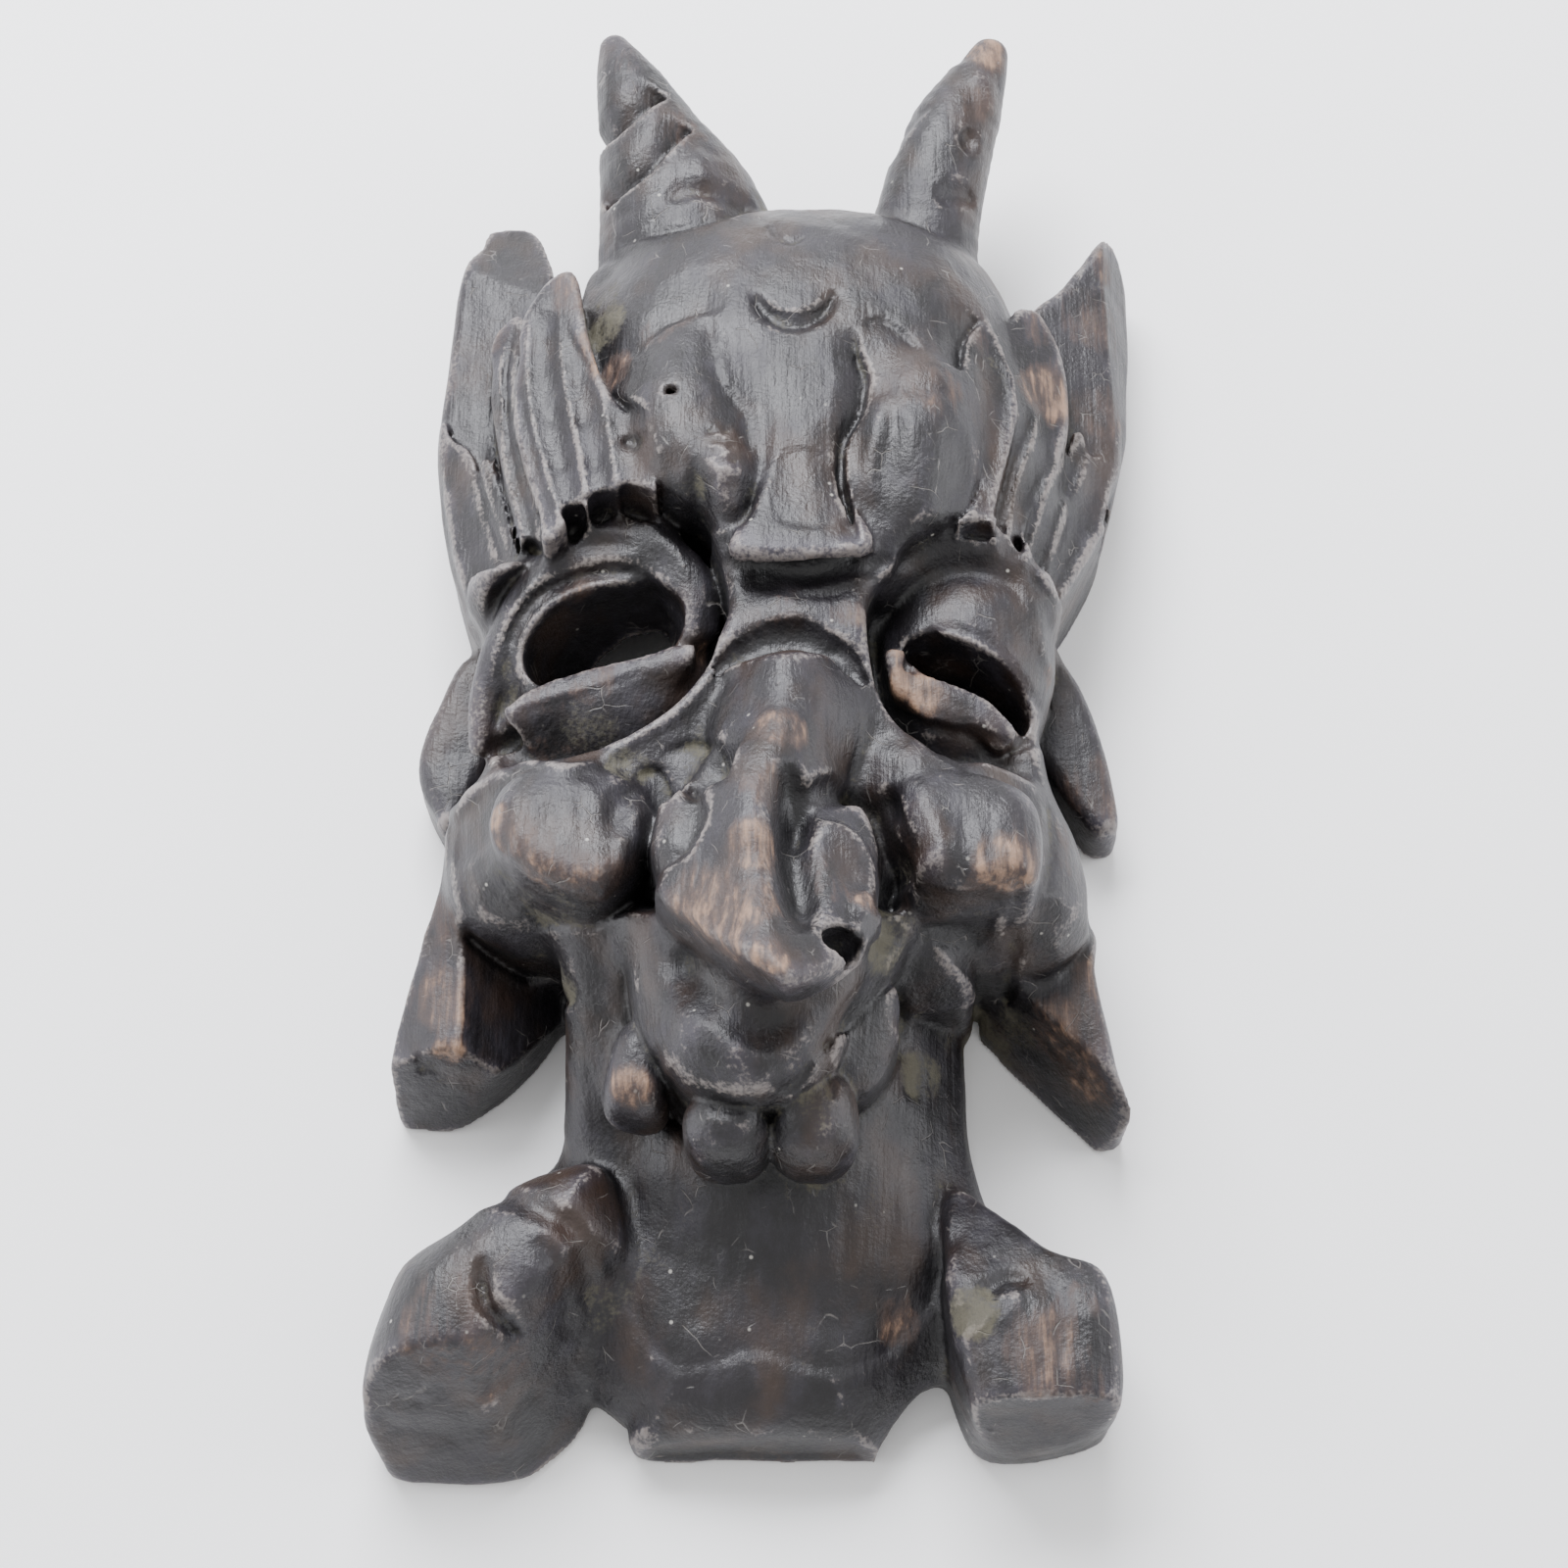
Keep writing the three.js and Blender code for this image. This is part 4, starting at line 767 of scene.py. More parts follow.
groove([[-50.6, -54.8], [-49.7, -62], [-49.2, -72.6]], 2.4, 0.45, 0.3)
groove([[-48.5, -55.7], [-47.6, -62], [-46.7, -73.4]], 2.4, 0.45, 0.3)
groove([[-45.9, -53.9], [-44.9, -62], [-44.4, -74]], 2.4, 0.7, 0.3)
groove([[-43.4, -54.8], [-42.5, -62], [-41.7, -73.7]], 2.4, 0.45, 0.3)
groove([[-41, -55.7], [-40.2, -62], [-39.8, -73.2]], 2.4, 0.45, 0.3)
groove([[-38.7, -53.8], [-37.8, -61.9], [-37.1, -72.4]], 2.4, 0.7, 0.3)
scarp([
    [-67.6, -61.2], [-62.6, -69.5], [-53.6, -75.7], [-43.6, -79], [-35.9, -77.6], [-27.5, -79.3],
], 7, 1.6, 0.15)
groove([
    [-79.5, -69.4], [-71.7, -73.5], [-64.5, -76.2], [-56.9, -78.3], [-50.2, -89.4], [-47.4, -93.8],
], 3.5, 1.8, 0.12)
groove([[-77.4, -46.3], [-78.6, -54.8], [-76.3, -64.7], [-72.3, -71]], 3, 0.5)
groove([[-34.4, -83.7], [-34.2, -93.8], [-32.4, -102.8]], 3, 1.2, 0.15)
# the nose: the wing on the left stepped down from the worn front plane
scarp([
    [-25.3, -81.3], [-24.1, -76.3], [-18.7, -73.5], [-15.3, -67], [-14.4, -61.1], [-17.5, -48.5],
], 9, 2.6, 0.12)
groove([[-28.2, -55], [-28.7, -67], [-27, -78.3]], 4, 1.2)
groove([[-15.8, -46.6], [-18, -61.6], [-19.7, -70.3]], 5, 0.6, 0.3)
for line in (
    [[-19.5, -79.5], [-19, -86.3], [-19.3, -91.5]],
    [[-17.2, -75.5], [-16.7, -86.3], [-17, -94.2]],
    [[-14.9, -73.3], [-14.4, -86.1], [-14.6, -96.7]],
    [[-12.6, -71.3], [-12.1, -86.1], [-12.2, -99]],
    [[-10.1, -70.2], [-9.6, -86.4], [-9.7, -101.4]],
    [[-7.7, -69], [-7.2, -86.4], [-7.3, -103.4]],
    [[-3.7, -74.6], [-3.3, -91.1], [-3.5, -106.7]],
    [[-1.1, -81.1], [-0.8, -95.6], [-1, -109.1]],
):
    groove(line, 2.2, 0.3, 0.3)
groove([[-22, -89.8], [-14.1, -100.3], [-4.7, -107.9], [4.5, -112.3]], 5, 1.4, 0.2)
groove([[-2.9, -121.7], [-4.7, -125.6], [-4.3, -130.5], [-1.6, -133.8]], 8, -0.6, 0.3)
# the muzzle and its rim, and the fang on the left
scarp([
    [4.5, -126.8], [-6.7, -127.7], [-17.6, -123.9], [-23.6, -118.4], [-26.4, -112],
], 5, 2, 0.1, 20, 0.8)
groove([[-10.2, -119.2], [-4.7, -122.4], [2.7, -122.8]], 10, -0.8, 0.35)
groove([[-21.8, -99.3], [-13.9, -110.3], [-4.7, -114.6]], 8, 0.8, 0.35)
groove([[-23.8, -118.8], [-22.2, -121.6], [-22.6, -121.4]], 2.5, 1.2)
# the left ear lobe: ribs along its lit facet and a broken end
for line in (
    [[-91.2, -44.4], [-84.9, -79.3], [-84.4, -100.5]],
    [[-85.1, -57.2], [-83.2, -79.5], [-82.7, -100.7]],
    [[-83.1, -58.3], [-81.6, -79.5], [-81.1, -100.8]],
    [[-80.9, -60.6], [-80.2, -79.4], [-79.7, -100.8]],
):
    groove(line, 2.4, 0.5, 0.2)
scarp([[-89.9, -104.2], [-84.7, -103.9], [-79.2, -102.4]], 5, 1.2, 0.1)
groove([[-80.3, -66.6], [-78.4, -83.6], [-79, -102.3]], 3, -0.7, 0.15)
# the coil on the right of the nose, with a deep groove swirling round it
groove([[6.4, -49.9], [5.2, -67.8], [5.9, -84.4], [10.3, -97.6]], 7, 3)
groove([
    [5.9, -74], [7.9, -66.8], [12.7, -58.1], [19.3, -52.5], [25.8, -52], [30.4, -62.3],
    [32.5, -69], [29.4, -81.3], [26.3, -87.6],
], 6, 3, 0.15)
scarp([
    [12.5, -63.5], [19.1, -64], [24.7, -69.8], [26.7, -79.3], [24.2, -91.4], [19.6, -97.1],
], 7, 1.6, 0.12, 20, 0.8)
groove([[13.4, -68.6], [17.5, -71.9], [19.8, -77.5], [19.2, -84.7]], 4, 0.7, 0.3)
groove([[21.1, -84.2], [23.2, -86.3], [22.5, -91]], 6, -1.2, 0.3)
cut(limb([
    [8.6, -66.8, 99.2, 2], [12.6, -58.3, 95.1, 3.5], [20.5, -51.6, 85.1, 4.5],
    [28, -51.7, 76.6, 3.5], [31.1, -58.6, 81.8, 2],
], 1), 1.5)
groove([[4.5, -50.4], [6.4, -67.4], [8.1, -85.3], [7.2, -99.7]], 8, 3.2, 0.25, 60)
cut(limb([
    [-21, -95.4, 78.7, 3.5], [-10.5, -108.4, 90, 5.5], [1.1, -114.2, 90, 6.5],
    [13.3, -108.4, 88.8, 5.5], [23.7, -97.1, 81.8, 4], [32.2, -84.5, 68.2, 3],
], 1), 4)
groove([
    [-25.6, -105.1], [-15.1, -119.2], [-0.1, -124], [13.8, -118.1], [24.9, -100.4], [35.8, -83.7],
], 12, -1.3, 0.25, 40)
# the right cheek: its hollow, its square end and the shadowed underside
groove([[30.2, -47.4], [32.5, -58.5], [34.9, -67.9], [35.7, -72]], 9, 2.2, 0.2)
groove([[34, -46.8], [38.4, -57.1], [41.9, -67.1], [42.8, -74.2]], 9, -1.4)
groove([[45.5, -56], [44.7, -67.2], [45.1, -75.7]], 2.2, 0.4, 0.3)
groove([[48.4, -56.6], [47.6, -67.3], [47.9, -75.8]], 2.2, 0.6, 0.3)
groove([[50.7, -57.3], [49.9, -67.3], [50.2, -75.9]], 2.2, 0.4, 0.3)
groove([[53.7, -55.9], [52.8, -67.3], [53.1, -75.9]], 2.2, 0.4, 0.3)
groove([[56, -56.6], [55.1, -67.3], [55.4, -75.9]], 2.2, 0.6, 0.3)
groove([[58.9, -57.2], [58, -67.3], [58.3, -75.7]], 2.2, 0.4, 0.3)
groove([[61.9, -55.4], [60.9, -67], [61.2, -75.6]], 2.2, 0.4, 0.3)
groove([[65, -55.2], [63.9, -66.5], [64.2, -75.1]], 2.2, 0.6, 0.3)
scarp([[71.2, -41.6], [71.3, -53.3], [70.4, -61.8], [68.7, -69.2]], 5, 1.6, 0.1, 20, 0.6)
groove([[53.2, -69.3], [55.1, -74.6], [61.2, -76]], 5, -0.7, 0.3)
scarp([[27.3, -77.9], [33.8, -78.6], [44.2, -80.7], [56.7, -76.5], [64.2, -75.2]], 6, 1.6, 0.15)
groove([[63.4, -76.2], [62.1, -81.1], [63.3, -84.9]], 3.5, 1.4, 0.15)
groove([[71.9, -79.9], [78, -76.8], [89.9, -53.6]], 4, 0.9, 0.2)
groove([[87.5, -35.2], [89.9, -45.6], [89.8, -58.2], [83, -78.2]], 5, -1, 0.2)
# the lip on the right: a slanting flat with a cut behind it
scarp([[2.2, -126.5], [7.9, -123.8], [14.5, -114.9], [23.4, -102.2], [34.8, -89]], 6, 2, 0.1, 20, 0.8)
groove([[33.6, -88.6], [33.2, -101], [37.2, -102.2], [36.8, -113.7]], 4, 1.4, 0.15)
groove([[16.2, -112.2], [14.1, -117.8], [16.2, -126.2]], 3, 1, 0.2)
groove([[36.8, -90.5], [43.7, -89.8], [51.7, -86.5]], 5, 0.8, 0.3)
for line in (
    [[57.3, -90.6], [60.1, -101.5], [61.9, -109]],
    [[62.6, -88.6], [66.3, -97.9], [68.2, -106.9]],
    [[66.2, -88.9], [70, -99.4], [72.3, -109]],
    [[70, -91.8], [73.7, -101.2], [76.3, -108.4]],
    [[73.7, -88.4], [77.1, -101.4], [80, -110.6]],
    [[77.7, -87.5], [80.6, -102.5], [83.6, -112]],
):
    groove(line, 2.4, 0.4, 0.3)
# the neck and chest: a heart-shaped edge over a smooth collar
scarp([
    [-52.5, -148], [-38.7, -157.6], [-29.6, -174], [-23.7, -179.9], [-19.4, -181.5],
    [-10.3, -179.9], [-2.7, -177.6], [6.9, -180.4], [16.4, -182.3], [28.6, -177.6], [40.9, -164.4],
    [49.5, -146.2],
], 8, 1.2, 0.05, 10, 1.4)
for line in (
    [[-34.9, -126], [-32, -141.1], [-30.6, -155.9]],
    [[-22.3, -130.3], [-20.2, -148], [-19.5, -165.6]],
    [[-8.5, -140], [-7.7, -152.2], [-8, -168.2]],
    [[4.5, -137.6], [5.9, -153.4], [5.9, -170.5]],
    [[18.6, -137.2], [19.5, -148.2], [18.5, -165.5]],
    [[32.8, -123.8], [32.1, -139.9], [29.9, -155.7]],
    [[43.3, -118.3], [43, -132.9], [41.1, -147.7]],
    [[-14.8, -145], [-12.3, -152], [-11.1, -158.9]],
    [[11.7, -145.3], [13.4, -154.2], [13.6, -163.4]],
):
    groove(line, 2.6, 0.4, 0.3, 10)
groove([[-28.2, -197.7], [-5.2, -197.5], [23.9, -197.9]], 3, 1, 0.05, 4)
groove([[29.9, -164.9], [31.5, -171.7], [28.5, -178.8]], 4, 0.7, 0.3, 10)
# the left shoulder: arcs, a crescent gouge, and the bevelled corner
groove([[-79.6, -134.9], [-58.8, -144.5], [-46.2, -153.2], [-43.6, -167.6]], 5, 1.8, 0.15, 10)
groove([[-55.8, -153.5], [-49.4, -161.6], [-48.9, -174.8]], 5, 1, 0.2, 10)
groove([[-85.6, -161.3], [-79.7, -150.6], [-67, -148.7]], 7, 1, 0.25, 10)
groove([[-68.7, -157.6], [-66.8, -169.5], [-58.6, -175.3]], 4, 2.4, 0.3, 10)
scarp([[-58.2, -174.6], [-64.6, -171.2], [-67.9, -162.7]], 5, 1, 0.2, 10, 0.6)
scarp([[-49.1, -174.5], [-58.4, -185], [-70.6, -193], [-94.1, -193.4]], 7, 0.9, 0.1, 10)
for line in (
    [[-87.8, -181.7], [-88.1, -186.4], [-89.6, -191.3]],
    [[-82.9, -178.9], [-83.2, -185.3], [-84.9, -191.6]],
    [[-78.1, -176.9], [-78.2, -184.5], [-79.9, -191.3]],
    [[-72.6, -179], [-72.6, -185.2], [-74.1, -190.9]],
    [[-67.6, -180.4], [-67.6, -184.9], [-68.7, -189.5]],
    [[-62.8, -180.3], [-62.5, -182.7], [-63.4, -185.4]],
):
    groove(line, 2, 0.35, 0.25, 10)
# the right shoulder: a furrow with a sunk triangle beside it, and a blunt lower edge
groove([[51.8, -166.4], [58.7, -162.2], [64.3, -163]], 4, 1.6, 0.2, 10)
scarp([[58.9, -165.4], [53.4, -173.8], [48, -176.7], [48.9, -168.3]], 7, 1.2, 0.15, 10, 0.8)
groove([[61.8, -165.9], [53.9, -173.8], [45.3, -178.5]], 4, -1, 0.2, 10)
groove([[66.7, -157.6], [71.6, -171], [72.2, -185.1]], 6, 0.8, 0.3, 10)
scarp([[79.5, -190.6], [65.2, -191.9], [51.4, -193]], 7, 1.2, 0.1, 10)
for line in (
    [[58.4, -178.1], [58.8, -184.3], [58.2, -190.4]],
    [[64.4, -173.4], [64.6, -182.5], [64, -191.2]],
    [[70.4, -172.2], [70.4, -181.6], [69.7, -190.6]],
    [[75.5, -173.3], [75.6, -181.6], [74.8, -189.6]],
):
    groove(line, 2, 0.35, 0.25, 10)

# the back scooped out behind the face and the neck, and planed level
cut(ball([1, 18, -6], [60, 96, 50], 0, 0, 0, 2.3), 0)
cut(limb([[1, -60, -6, 34], [0, -100, -6, 33], [0, -140, -6, 30]], 1), 6)

# The hand of the knife: no cut is true, and the grain stands a little proud where softer wood
# wore away. Seeded noise in three sizes is added to the distances, 0.74 mm at most, and the finest
# is drawn out along the block as grain is.


def wavering(spacing, seed):
    chance = np.random.default_rng(seed)
    size = [len(s) for s in steps]
    grid = chance.uniform(-1, 1, [int(n * CELL / s) + 3 for n, s in zip(size, spacing)]).astype(np.float32)
    for axis, (n, step) in enumerate(zip(size, spacing)):
        place = np.arange(n) * CELL / step
        first = place.astype(int)
        t = (place - first).astype(np.float32)
        t = (t * t * (3 - 2 * t)).reshape([-1 if k == axis else 1 for k in range(3)])
        grid = np.take(grid, first, axis) * (1 - t) + np.take(grid, first + 1, axis) * t
    return grid


bench["wood"] += 0.42 * wavering((13, 15, 13), 4) + 0.2 * wavering((5.5, 9, 5.5), 11)
bench["wood"] += 0.12 * wavering((2.2, 24, 2.2), 23)
chop([0, 0, 0], [0, 0, -1], LOW, HIGH)

# The skin: the face of the carved block
# The field is turned into faces, one point to each cell that the face of the wood crosses, and
# thinned where the wood runs smooth. The grid is in carver's millimetres, the mesh in metres.
SKIN_TRIANGLES = 196000
wood = bench["wood"]
kept = wood < 0
corners = [(i, j, k) for i in (0, 1) for j in (0, 1) for k in (0, 1)]


def corner_view(array, c):
    return array[tuple(slice(o, n - 1 + o) for o, n in zip(c, array.shape))]


count = sum(corner_view(kept, c).astype(np.uint8) for c in corners)
mixed = (count > 0) & (count < 8)
at = np.argwhere(mixed)
names = np.full(mixed.shape, -1, np.int32)
names[tuple(at.T)] = np.arange(len(at))
total = np.zeros((len(at), 3))
hits = np.zeros(len(at))
for axis in range(3):
    for c in corners:
        if c[axis]:
            continue
        far_end = list(c)
        far_end[axis] = 1
        a = wood[tuple((at + c).T)].astype(float)
        b = wood[tuple((at + far_end).T)].astype(float)
        crossed = (a < 0) != (b < 0)
        t = np.where(crossed, a / np.where(crossed, a - b, 1), 0)
        place = np.array(c, float)[None, :].repeat(len(at), 0)
        place[:, axis] += t
        total += place * crossed[:, None]
        hits += crossed
points = (at + total / hits[:, None]) * CELL + LOW
quads = []
for axis in range(3):
    one, two = (axis + 1) % 3, (axis + 2) % 3
    low_side = kept[tuple(slice(1 if n != axis else 0, -1) for n in range(3))]
    high_side = kept[tuple(slice(1, -1) if n != axis else slice(1, None) for n in range(3))]
    edge = np.argwhere(low_side != high_side)
    edge[:, one] += 1
    edge[:, two] += 1
    leaving = kept[tuple(edge.T)]
    ring = []
    for da, db in ((0, 0), (1, 0), (1, 1), (0, 1)):
        cell = edge.copy()
        cell[:, one] -= da
        cell[:, two] -= db
        ring.append(names[tuple(cell.T)])
    ring = np.stack(ring, 1)
    quads.append(np.where(leaving[:, None], ring, ring[:, ::-1]))
quads = np.concatenate(quads)
points[:, 2] = np.maximum(points[:, 2], 0.0)
points[:, 0] -= MIDDLE[0]
points[:, 1] -= MIDDLE[1]
mesh = bpy.data.meshes.new("carved_mask")
mesh.from_pydata((points / 1000).tolist(), [], quads.tolist())
mask = bpy.data.objects.new("carved_mask", mesh)
bpy.context.scene.collection.objects.link(mask)
for polygon in mesh.polygons:
    polygon.use_smooth = True
bpy.ops.object.select_all(action="DESELECT")
mask.select_set(True)
bpy.context.view_layer.objects.active = mask
thin = mask.modifiers.new("thin", "DECIMATE")
thin.ratio = SKIN_TRIANGLES / (2 * len(quads))
bpy.ops.object.modifier_apply(modifier=thin.name)
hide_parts("mask")
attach(mask, "root")

# Wear, dust and painted shade: edges are found where the wood stands out from its own blurred
# shape, hollows where it lies behind it; the hollows are darkened as painted shade, and the sharp
# edges are lightened partly as wear and partly as a painted highlight. The places rubbed to bare
# wood or left dusty are listed below, each as x, y, z, radius in millimetres and strength


def blurred(field, reach):
    for axis in range(3):
        total = np.cumsum(field, axis, dtype=np.float32)
        n = field.shape[axis]
        ahead = np.clip(np.arange(n) + reach, 0, n - 1)
        behind = np.clip(np.arange(n) - reach - 1, 0, n - 1)
        field = (np.take(total, ahead, axis) - np.take(total, behind, axis)) / (2 * reach + 1)
    return field


def sampled(field, at):
    where = np.clip((at - LOW) / CELL, 0, np.array(field.shape) - 1.001)
    first = where.astype(int)
    t = where - first
    total = np.zeros(len(at))
    for c in corners:
        weight = np.prod([t[:, k] if c[k] else 1 - t[:, k] for k in range(3)], 0)
        total += weight * field[tuple((first + c).T)]
    return total


def marked(spots, at):
    most = np.zeros(len(at))
    for x, y, z, radius, strength in spots:
        gap = ((at - (x, y, z)) ** 2).sum(1) / radius ** 2
        most = np.maximum(most, strength * np.clip(1.6 - 1.6 * gap, 0, 1))
    return most


BARE = [
    (65, 200, 51, 10, 0.9), (61, 179, 53, 8, 0.6), (-24, 169, 55, 10, 0.5), (-41, 196, 52, 8, 0.4),
    (-76, 102, 48, 6, 0.7), (-54, 105, 66, 10, 0.6), (-48, 86, 69, 8, 0.5), (-42, 79, 67, 9, 0.8),
    (-30, 88, 74, 8, 0.6), (-24, 91, 75, 6, 0.5), (76, 82, 52, 12, 0.9), (76, 104, 50, 8, 0.5),
    (58, 89, 66, 6, 0.3), (44, 66, 81, 12, 0.6), (26, 46, 79, 5, 0.5), (94, 116, 35, 14, 0.6),
    (94, 86, 35, 12, 0.6), (98, 136, 33, 8, 0.6), (-84, 94, 33, 10, 0.3), (-95, 146, 0, 8, 0.4),
    (-89, 70, 37, 8, 0.4), (4, -40, 96, 9, 0.8), (1, -58, 102, 9, 0.7), (-2, -75, 105, 10, 0.9),
    (-3, -91, 110, 10, 0.8), (-15, -88, 103, 14, 0.8), (-9, -99, 109, 10, 0.7),
    (1, -106, 115, 7, 0.8), (23, -87, 96, 5, 1), (16, -82, 99, 8, 0.4), (-62, -63, 84, 9, 0.7),
    (-52, -74, 84, 12, 0.7), (-40, -76, 86, 10, 0.6), (-66, -57, 80, 5, 0.9),
    (59, -72, 86, 12, 0.9), (54, -80, 84, 10, 0.7), (65, -65, 82, 6, 0.6), (78, -54, 49, 10, 0.5),
    (-50, 16, 60, 6, 0.6), (-46, -11, 60, 8, 0.6), (-56, -15, 60, 6, 0.5), (-18, 0, 56, 5, 0.8),
    (-56, -27, 50, 8, 0.5), (37, -13, 62, 9, 1), (41, -16, 62, 7, 0.9), (74, -3, 48, 5, 0.8),
    (34, -2, 63, 5, 0.8), (22, 2, 76, 7, 0.6), (2, 1, 77, 8, 0.3), (-33, -121, 63, 8, 0.9),
    (-21, -127, 38, 5, 0.6), (19, -122, 65, 8, 0.5), (-83, -88, 34, 12, 0.7),
    (-84, -66, 33, 10, 0.6), (-81, -102, 33, 6, 0.9), (76, -96, 27, 14, 0.8),
    (83, -107, 19, 10, 0.9), (84, -81, 30, 8, 0.7), (89, -22, 20, 12, 0.6),
    (-77, -174, 47, 16, 0.5), (-66, -184, 36, 12, 0.5), (-52, -158, 48, 8, 0.3),
    (68, -180, 43, 14, 0.7), (75, -168, 42, 8, 0.5), (77, -188, 42, 7, 0.6), (32, -169, 24, 8, 0.8),
    (0, -198, 6, 10, 0.4),
]
DUSTY = [
    (50, -170, 42, 9, 0.9), (57, -90, 0, 16, 0.6), (40, -107, 26, 10, 0.5), (30, -85, 69, 12, 0.8),
    (-44, 97, 63, 10, 0.8), (-44, 109, 59, 8, 0.6), (-46, -22, 56, 10, 0.6), (-35, -41, 73, 8, 0.7),
    (63, 80, 66, 9, 0.5), (-48, -86, 43, 10, 0.5), (-72, -8, 53, 10, 0.4), (24, -3, 76, 8, 0.4),
    (-21, 34, 81, 8, 0.3), (12, -129, 70, 8, 0.4), (66, -90, 17, 9, 0.6), (-42, -167, 28, 9, 0.5),
    (24, -32, 76, 8, 0.4),
]

verts = np.empty(3 * len(mask.data.vertices))
mask.data.vertices.foreach_get("co", verts)
verts = verts.reshape(-1, 3) * 1000 + (MIDDLE[0], MIDDLE[1], 0)
shell = np.clip(wood, -8, 8)
thin_blur = blurred(shell, round(2.0 / CELL))
wide_blur = blurred(blurred(shell, round(5.0 / CELL)), round(3.0 / CELL))
here = sampled(shell, verts)
crisp = sampled(thin_blur, verts) - here
broad = sampled(wide_blur, verts) - here
shade = sampled(blurred(np.clip(wood, -16, 16), round(12.0 / CELL)), verts)
marks = {
    "edge": np.clip(crisp * 2.2, 0, 1),
    "crease": np.clip(-crisp * 2.6, 0, 1),
    "high": np.clip(broad * 0.42, 0, 1),
    # how far a point lies in a closed-in hollow, used to paint shade into the colour
    "deep": np.clip(0.25 - broad * 0.4 - shade * 0.03, 0, 1),
    "bare": marked(BARE, verts),
    "dusty": marked(DUSTY, verts),
}
for name, values in marks.items():
    layer = mask.data.attributes.new(name, "FLOAT", "POINT")
    layer.data.foreach_set("value", values.astype(np.float32))

# The finish: hardwood blackened with a thin spirit stain and waxed, so it is charcoal with a grey
# satin sheen; the stain is rubbed through to brown and then to tan bare wood on what stands out,
# and grey-green dust lies in what doesn't. The deepest hollows are also painted near black as
# shade, and the pale sharp edges are partly wear and partly a painted highlight


def node(tree, kind, links=(), **settings):
    made = tree.nodes.new(kind)
    for name, value in settings.items():
        if name.startswith("in_"):
            made.inputs[int(name[3:])].default_value = value
        else:
            setattr(made, name, value)
    for source, target in links:
        tree.links.new(source, made.inputs[target])
    return made


stain = bpy.data.materials.new("black stained hardwood")
stain.use_nodes = True
tree = stain.node_tree
face = tree.nodes["Principled BSDF"]
place = node(tree, "ShaderNodeTexCoord").outputs["Object"]


def noise(scale, detail, stretch=(1, 1, 1), rough=0.55):
    turned = node(tree, "ShaderNodeMapping", [(place, 0)], in_3=stretch).outputs[0]
    return node(
        tree, "ShaderNodeTexNoise", [(turned, "Vector")], in_2=scale, in_3=detail, in_4=rough
    ).outputs[0]


def sums(kind, a, b):
    links = [(s, n) for n, s in enumerate((a, b)) if not isinstance(s, float)]
    values = {"in_%d" % n: s for n, s in enumerate((a, b)) if isinstance(s, float)}
    return node(tree, "ShaderNodeMath", links, operation=kind, **values).outputs[0]


def between(value, low, high, top=1.0):
    return node(
        tree, "ShaderNodeMapRange", [(value, 0)], in_1=low, in_2=high, in_3=0.0, in_4=top,
        interpolation_type="SMOOTHSTEP",
    ).outputs[0]


def layer(name):
    return node(tree, "ShaderNodeAttribute", attribute_name=name).outputs["Fac"]


def mixed_colour(share, below, above):
    links = [(share, 0)]
    settings = {}
    for n, colour in ((6, below), (7, above)):
        if isinstance(colour, str):
            settings["in_%d" % n] = linear(colour)
        else:
            links.append((colour, n))
    made = node(tree, "ShaderNodeMix", data_type="RGBA")
    for name, value in settings.items():
        made.inputs[int(name[3:])].default_value = value
    for source, target in links:
        tree.links.new(source, made.inputs[target])
    return made.outputs[2]


# the grain runs the length of the block: 2 mm wide streaks, and 1 mm ones too fine to see one by one
grain = noise(480, 5, (1, 0.07, 1), 0.6)
blotch = noise(38, 4)
grit = noise(900, 3)
smear = noise(130, 5, (1, 0.5, 1), 0.65)
colour = mixed_colour(between(blotch, 0.35, 0.68), "121012", "1f1c20")
colour = mixed_colour(between(smear, 0.45, 0.75, 0.5), colour, "312f37")
colour = mixed_colour(between(noise(60, 5, (1, 0.6, 1)), 0.46, 0.7, 0.7), colour, "35271f")
# painted shade: the hollows and creases darkened towards near black
colour = mixed_colour(between(layer("deep"), 0.35, 1.0, 0.7), colour, "08080a")
# rubbed ridges and faces: first greyer, then pale at the sharp edges, which is partly a painted highlight,
# then brown
rub = sums("ADD", sums("MULTIPLY", layer("high"), 0.7), sums("MULTIPLY", smear, 0.7))
colour = mixed_colour(between(rub, 0.55, 1.05, 0.5), colour, "46424b")
# sharp edges lightened to pale grey: worn stain, and also a painted highlight along the rims
worn_edge_and_highlight = sums("ADD", layer("edge"), sums("MULTIPLY", sums("SUBTRACT", grit, 0.5), 1.6))
worn_edge_and_highlight = sums("ADD", worn_edge_and_highlight, sums("MULTIPLY", sums("SUBTRACT", smear, 0.5), 1.6))
colour = mixed_colour(between(worn_edge_and_highlight, 0.62, 1.25, 0.6), colour, "8c847f")
bare = sums("ADD", layer("bare"), sums("MULTIPLY", sums("SUBTRACT", grain, 0.5), 1.5))
bare = sums("ADD", bare, sums("MULTIPLY", sums("SUBTRACT", smear, 0.5), 1.6))
bare = sums("ADD", bare, sums("MULTIPLY", layer("edge"), 0.2))
colour = mixed_colour(between(bare, 0.35, 0.9, 0.62), colour, "46362f")
colour = mixed_colour(between(bare, 0.78, 1.4, 0.8), colour, "957761")
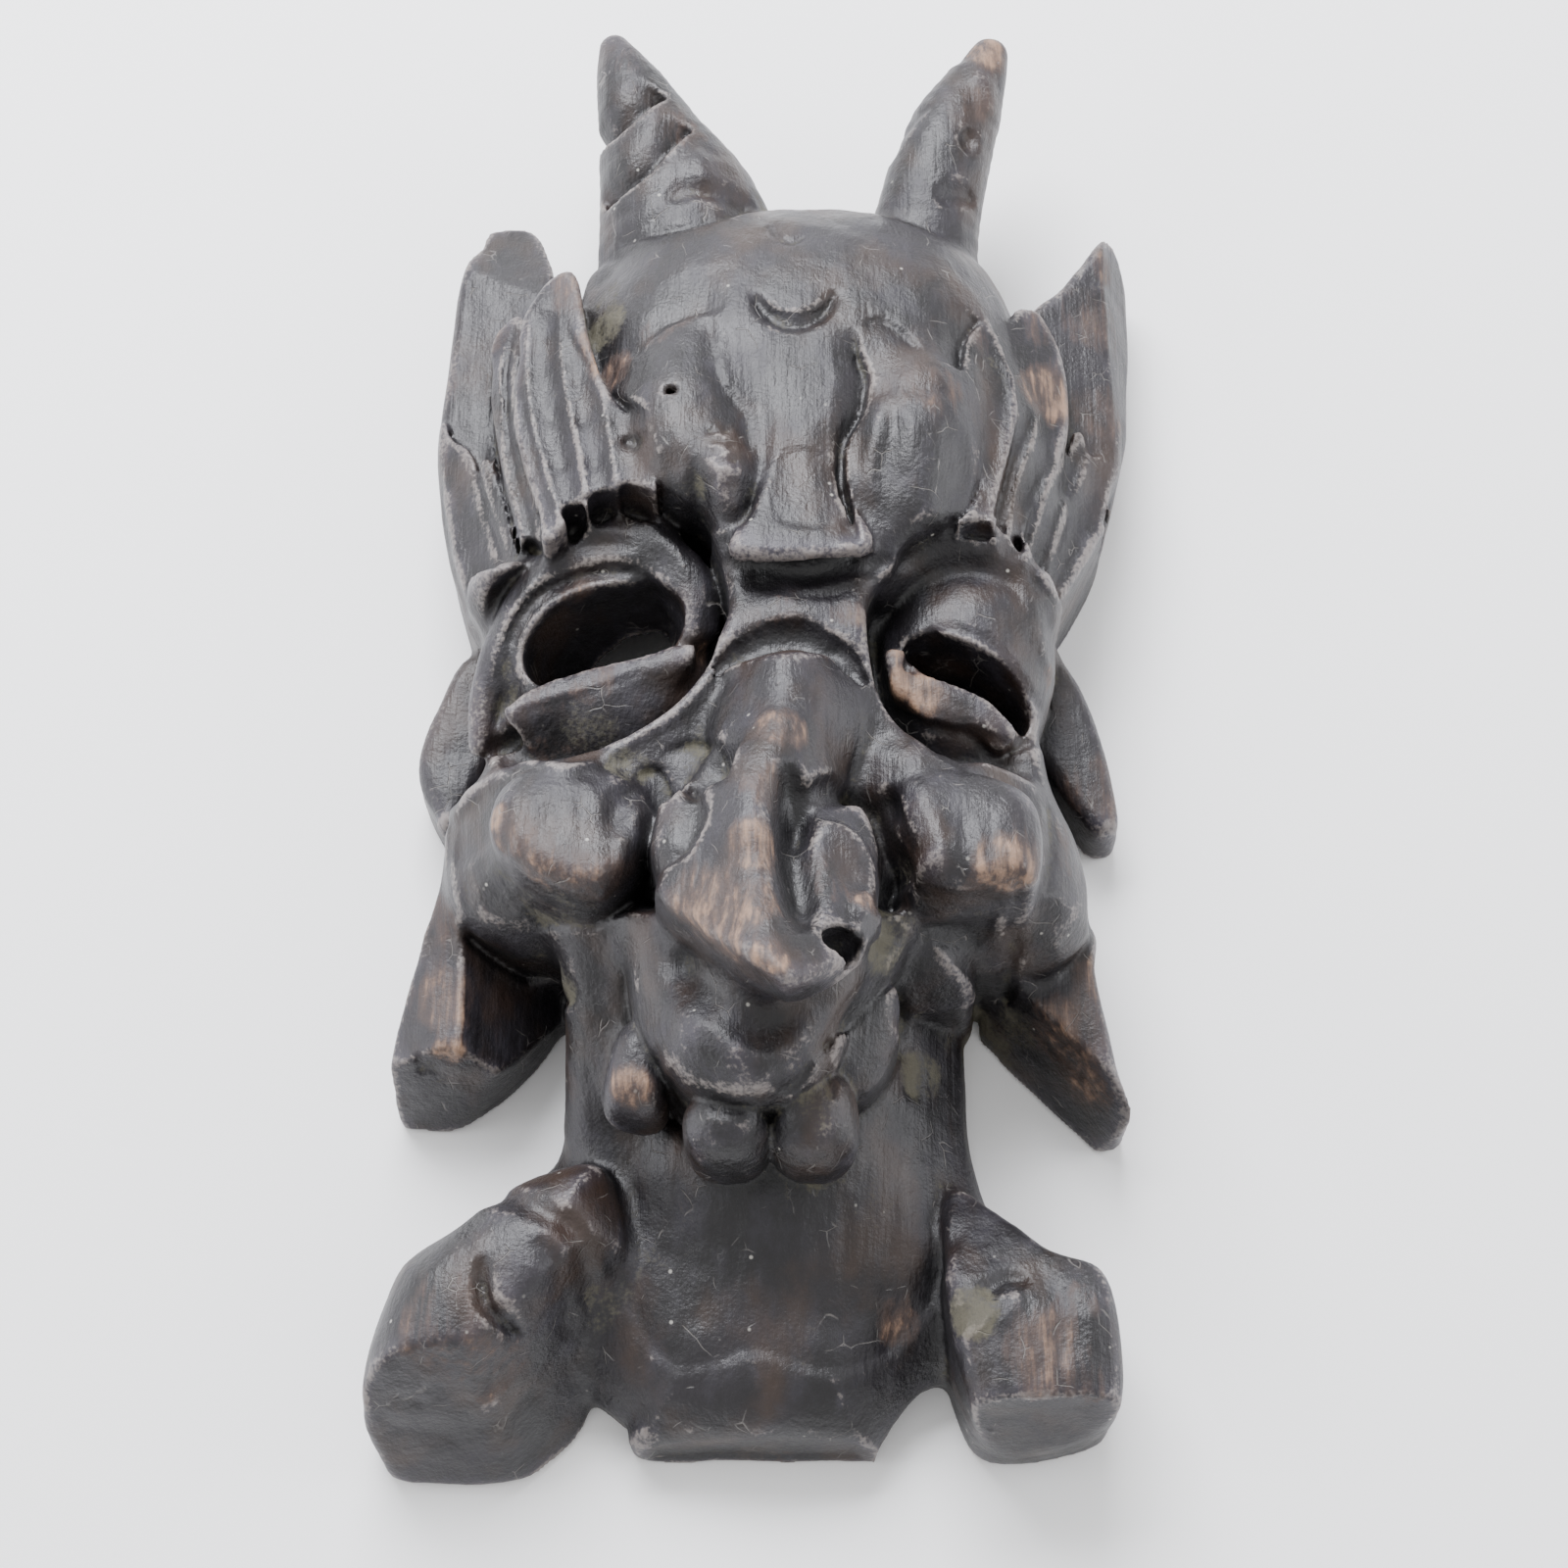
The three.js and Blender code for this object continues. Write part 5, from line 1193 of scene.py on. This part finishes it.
# hairline scratches, drawn near 0.3 mm wide where real ones are 0.1 mm and would not show
bent = node(tree, "ShaderNodeVectorMath", [(place, 0)], operation="MULTIPLY_ADD", in_1=(1, 1, 1))
wander = node(tree, "ShaderNodeTexNoise", [(place, "Vector")], in_2=60.0, in_3=3.0)
shift = node(tree, "ShaderNodeVectorMath", [(wander.outputs["Color"], 0)], operation="SCALE")
shift.inputs["Scale"].default_value = 0.006
tree.links.new(shift.outputs[0], bent.inputs[2])
net = node(
    tree, "ShaderNodeTexVoronoi", [(bent.outputs[0], "Vector")], feature="DISTANCE_TO_EDGE", in_2=95.0
).outputs["Distance"]
scratch = sums("MULTIPLY", between(net, 0.02, 0.006), between(noise(110, 2), 0.56, 0.66))
colour = mixed_colour(sums("MULTIPLY", scratch, 0.5), colour, "77736f")
# dust in the cuts and hollows, and a thin film of it in patches
dust = sums("ADD", sums("MULTIPLY", layer("crease"), 0.4), layer("dusty"))
dust = sums("ADD", dust, sums("MULTIPLY", sums("SUBTRACT", smear, 0.5), 1.6))
dust = sums("ADD", dust, sums("MULTIPLY", sums("SUBTRACT", grit, 0.5), 0.9))
dust = sums("ADD", dust, between(noise(26, 3), 0.48, 0.75, 0.42))
colour = mixed_colour(between(dust, 0.45, 1.05, 0.6), colour, "5e5a49")
# pale flecks of lint and chipped stain, about 1 mm, a little bigger than life so that they show
fleck = node(tree, "ShaderNodeTexVoronoi", [(place, "Vector")], in_2=150.0)
sparse = node(tree, "ShaderNodeSeparateColor", [(fleck.outputs["Color"], 0)]).outputs[0]
chip = sums("MULTIPLY", between(fleck.outputs["Distance"], 0.1, 0.04), between(sparse, 0.7, 0.9))
colour = mixed_colour(sums("MULTIPLY", chip, 0.6), colour, "b9b6ae")
tree.links.new(colour, face.inputs["Base Color"])
satin = sums("ADD", between(smear, 0.3, 0.8, 0.16), 0.39)
satin = sums("ADD", satin, sums("MULTIPLY", between(dust, 0.42, 0.95), 0.25))
tree.links.new(sums("ADD", satin, between(bare, 0.3, 1.0, 0.1)), face.inputs["Roughness"])
face.inputs["Specular IOR Level"].default_value = 0.5
# knife facets about 6 mm across, the open grain and a fine tooth
cuts = node(tree, "ShaderNodeTexVoronoi", [(place, "Vector")], feature="SMOOTH_F1", in_2=170.0, in_6=0.6)
relief = sums("MULTIPLY", cuts.outputs["Distance"], 0.5)
relief = sums("ADD", relief, sums("MULTIPLY", grain, 0.55))
relief = sums("ADD", relief, sums("MULTIPLY", grit, 0.34))
relief = sums("SUBTRACT", relief, sums("MULTIPLY", scratch, 0.3))
bump = node(tree, "ShaderNodeBump", [(relief, "Height")])
bump.inputs["Strength"].default_value = 0.75
bump.inputs["Distance"].default_value = 0.0009
tree.links.new(bump.outputs["Normal"], face.inputs["Normal"])
mask.data.materials.clear()
mask.data.materials.append(stain)
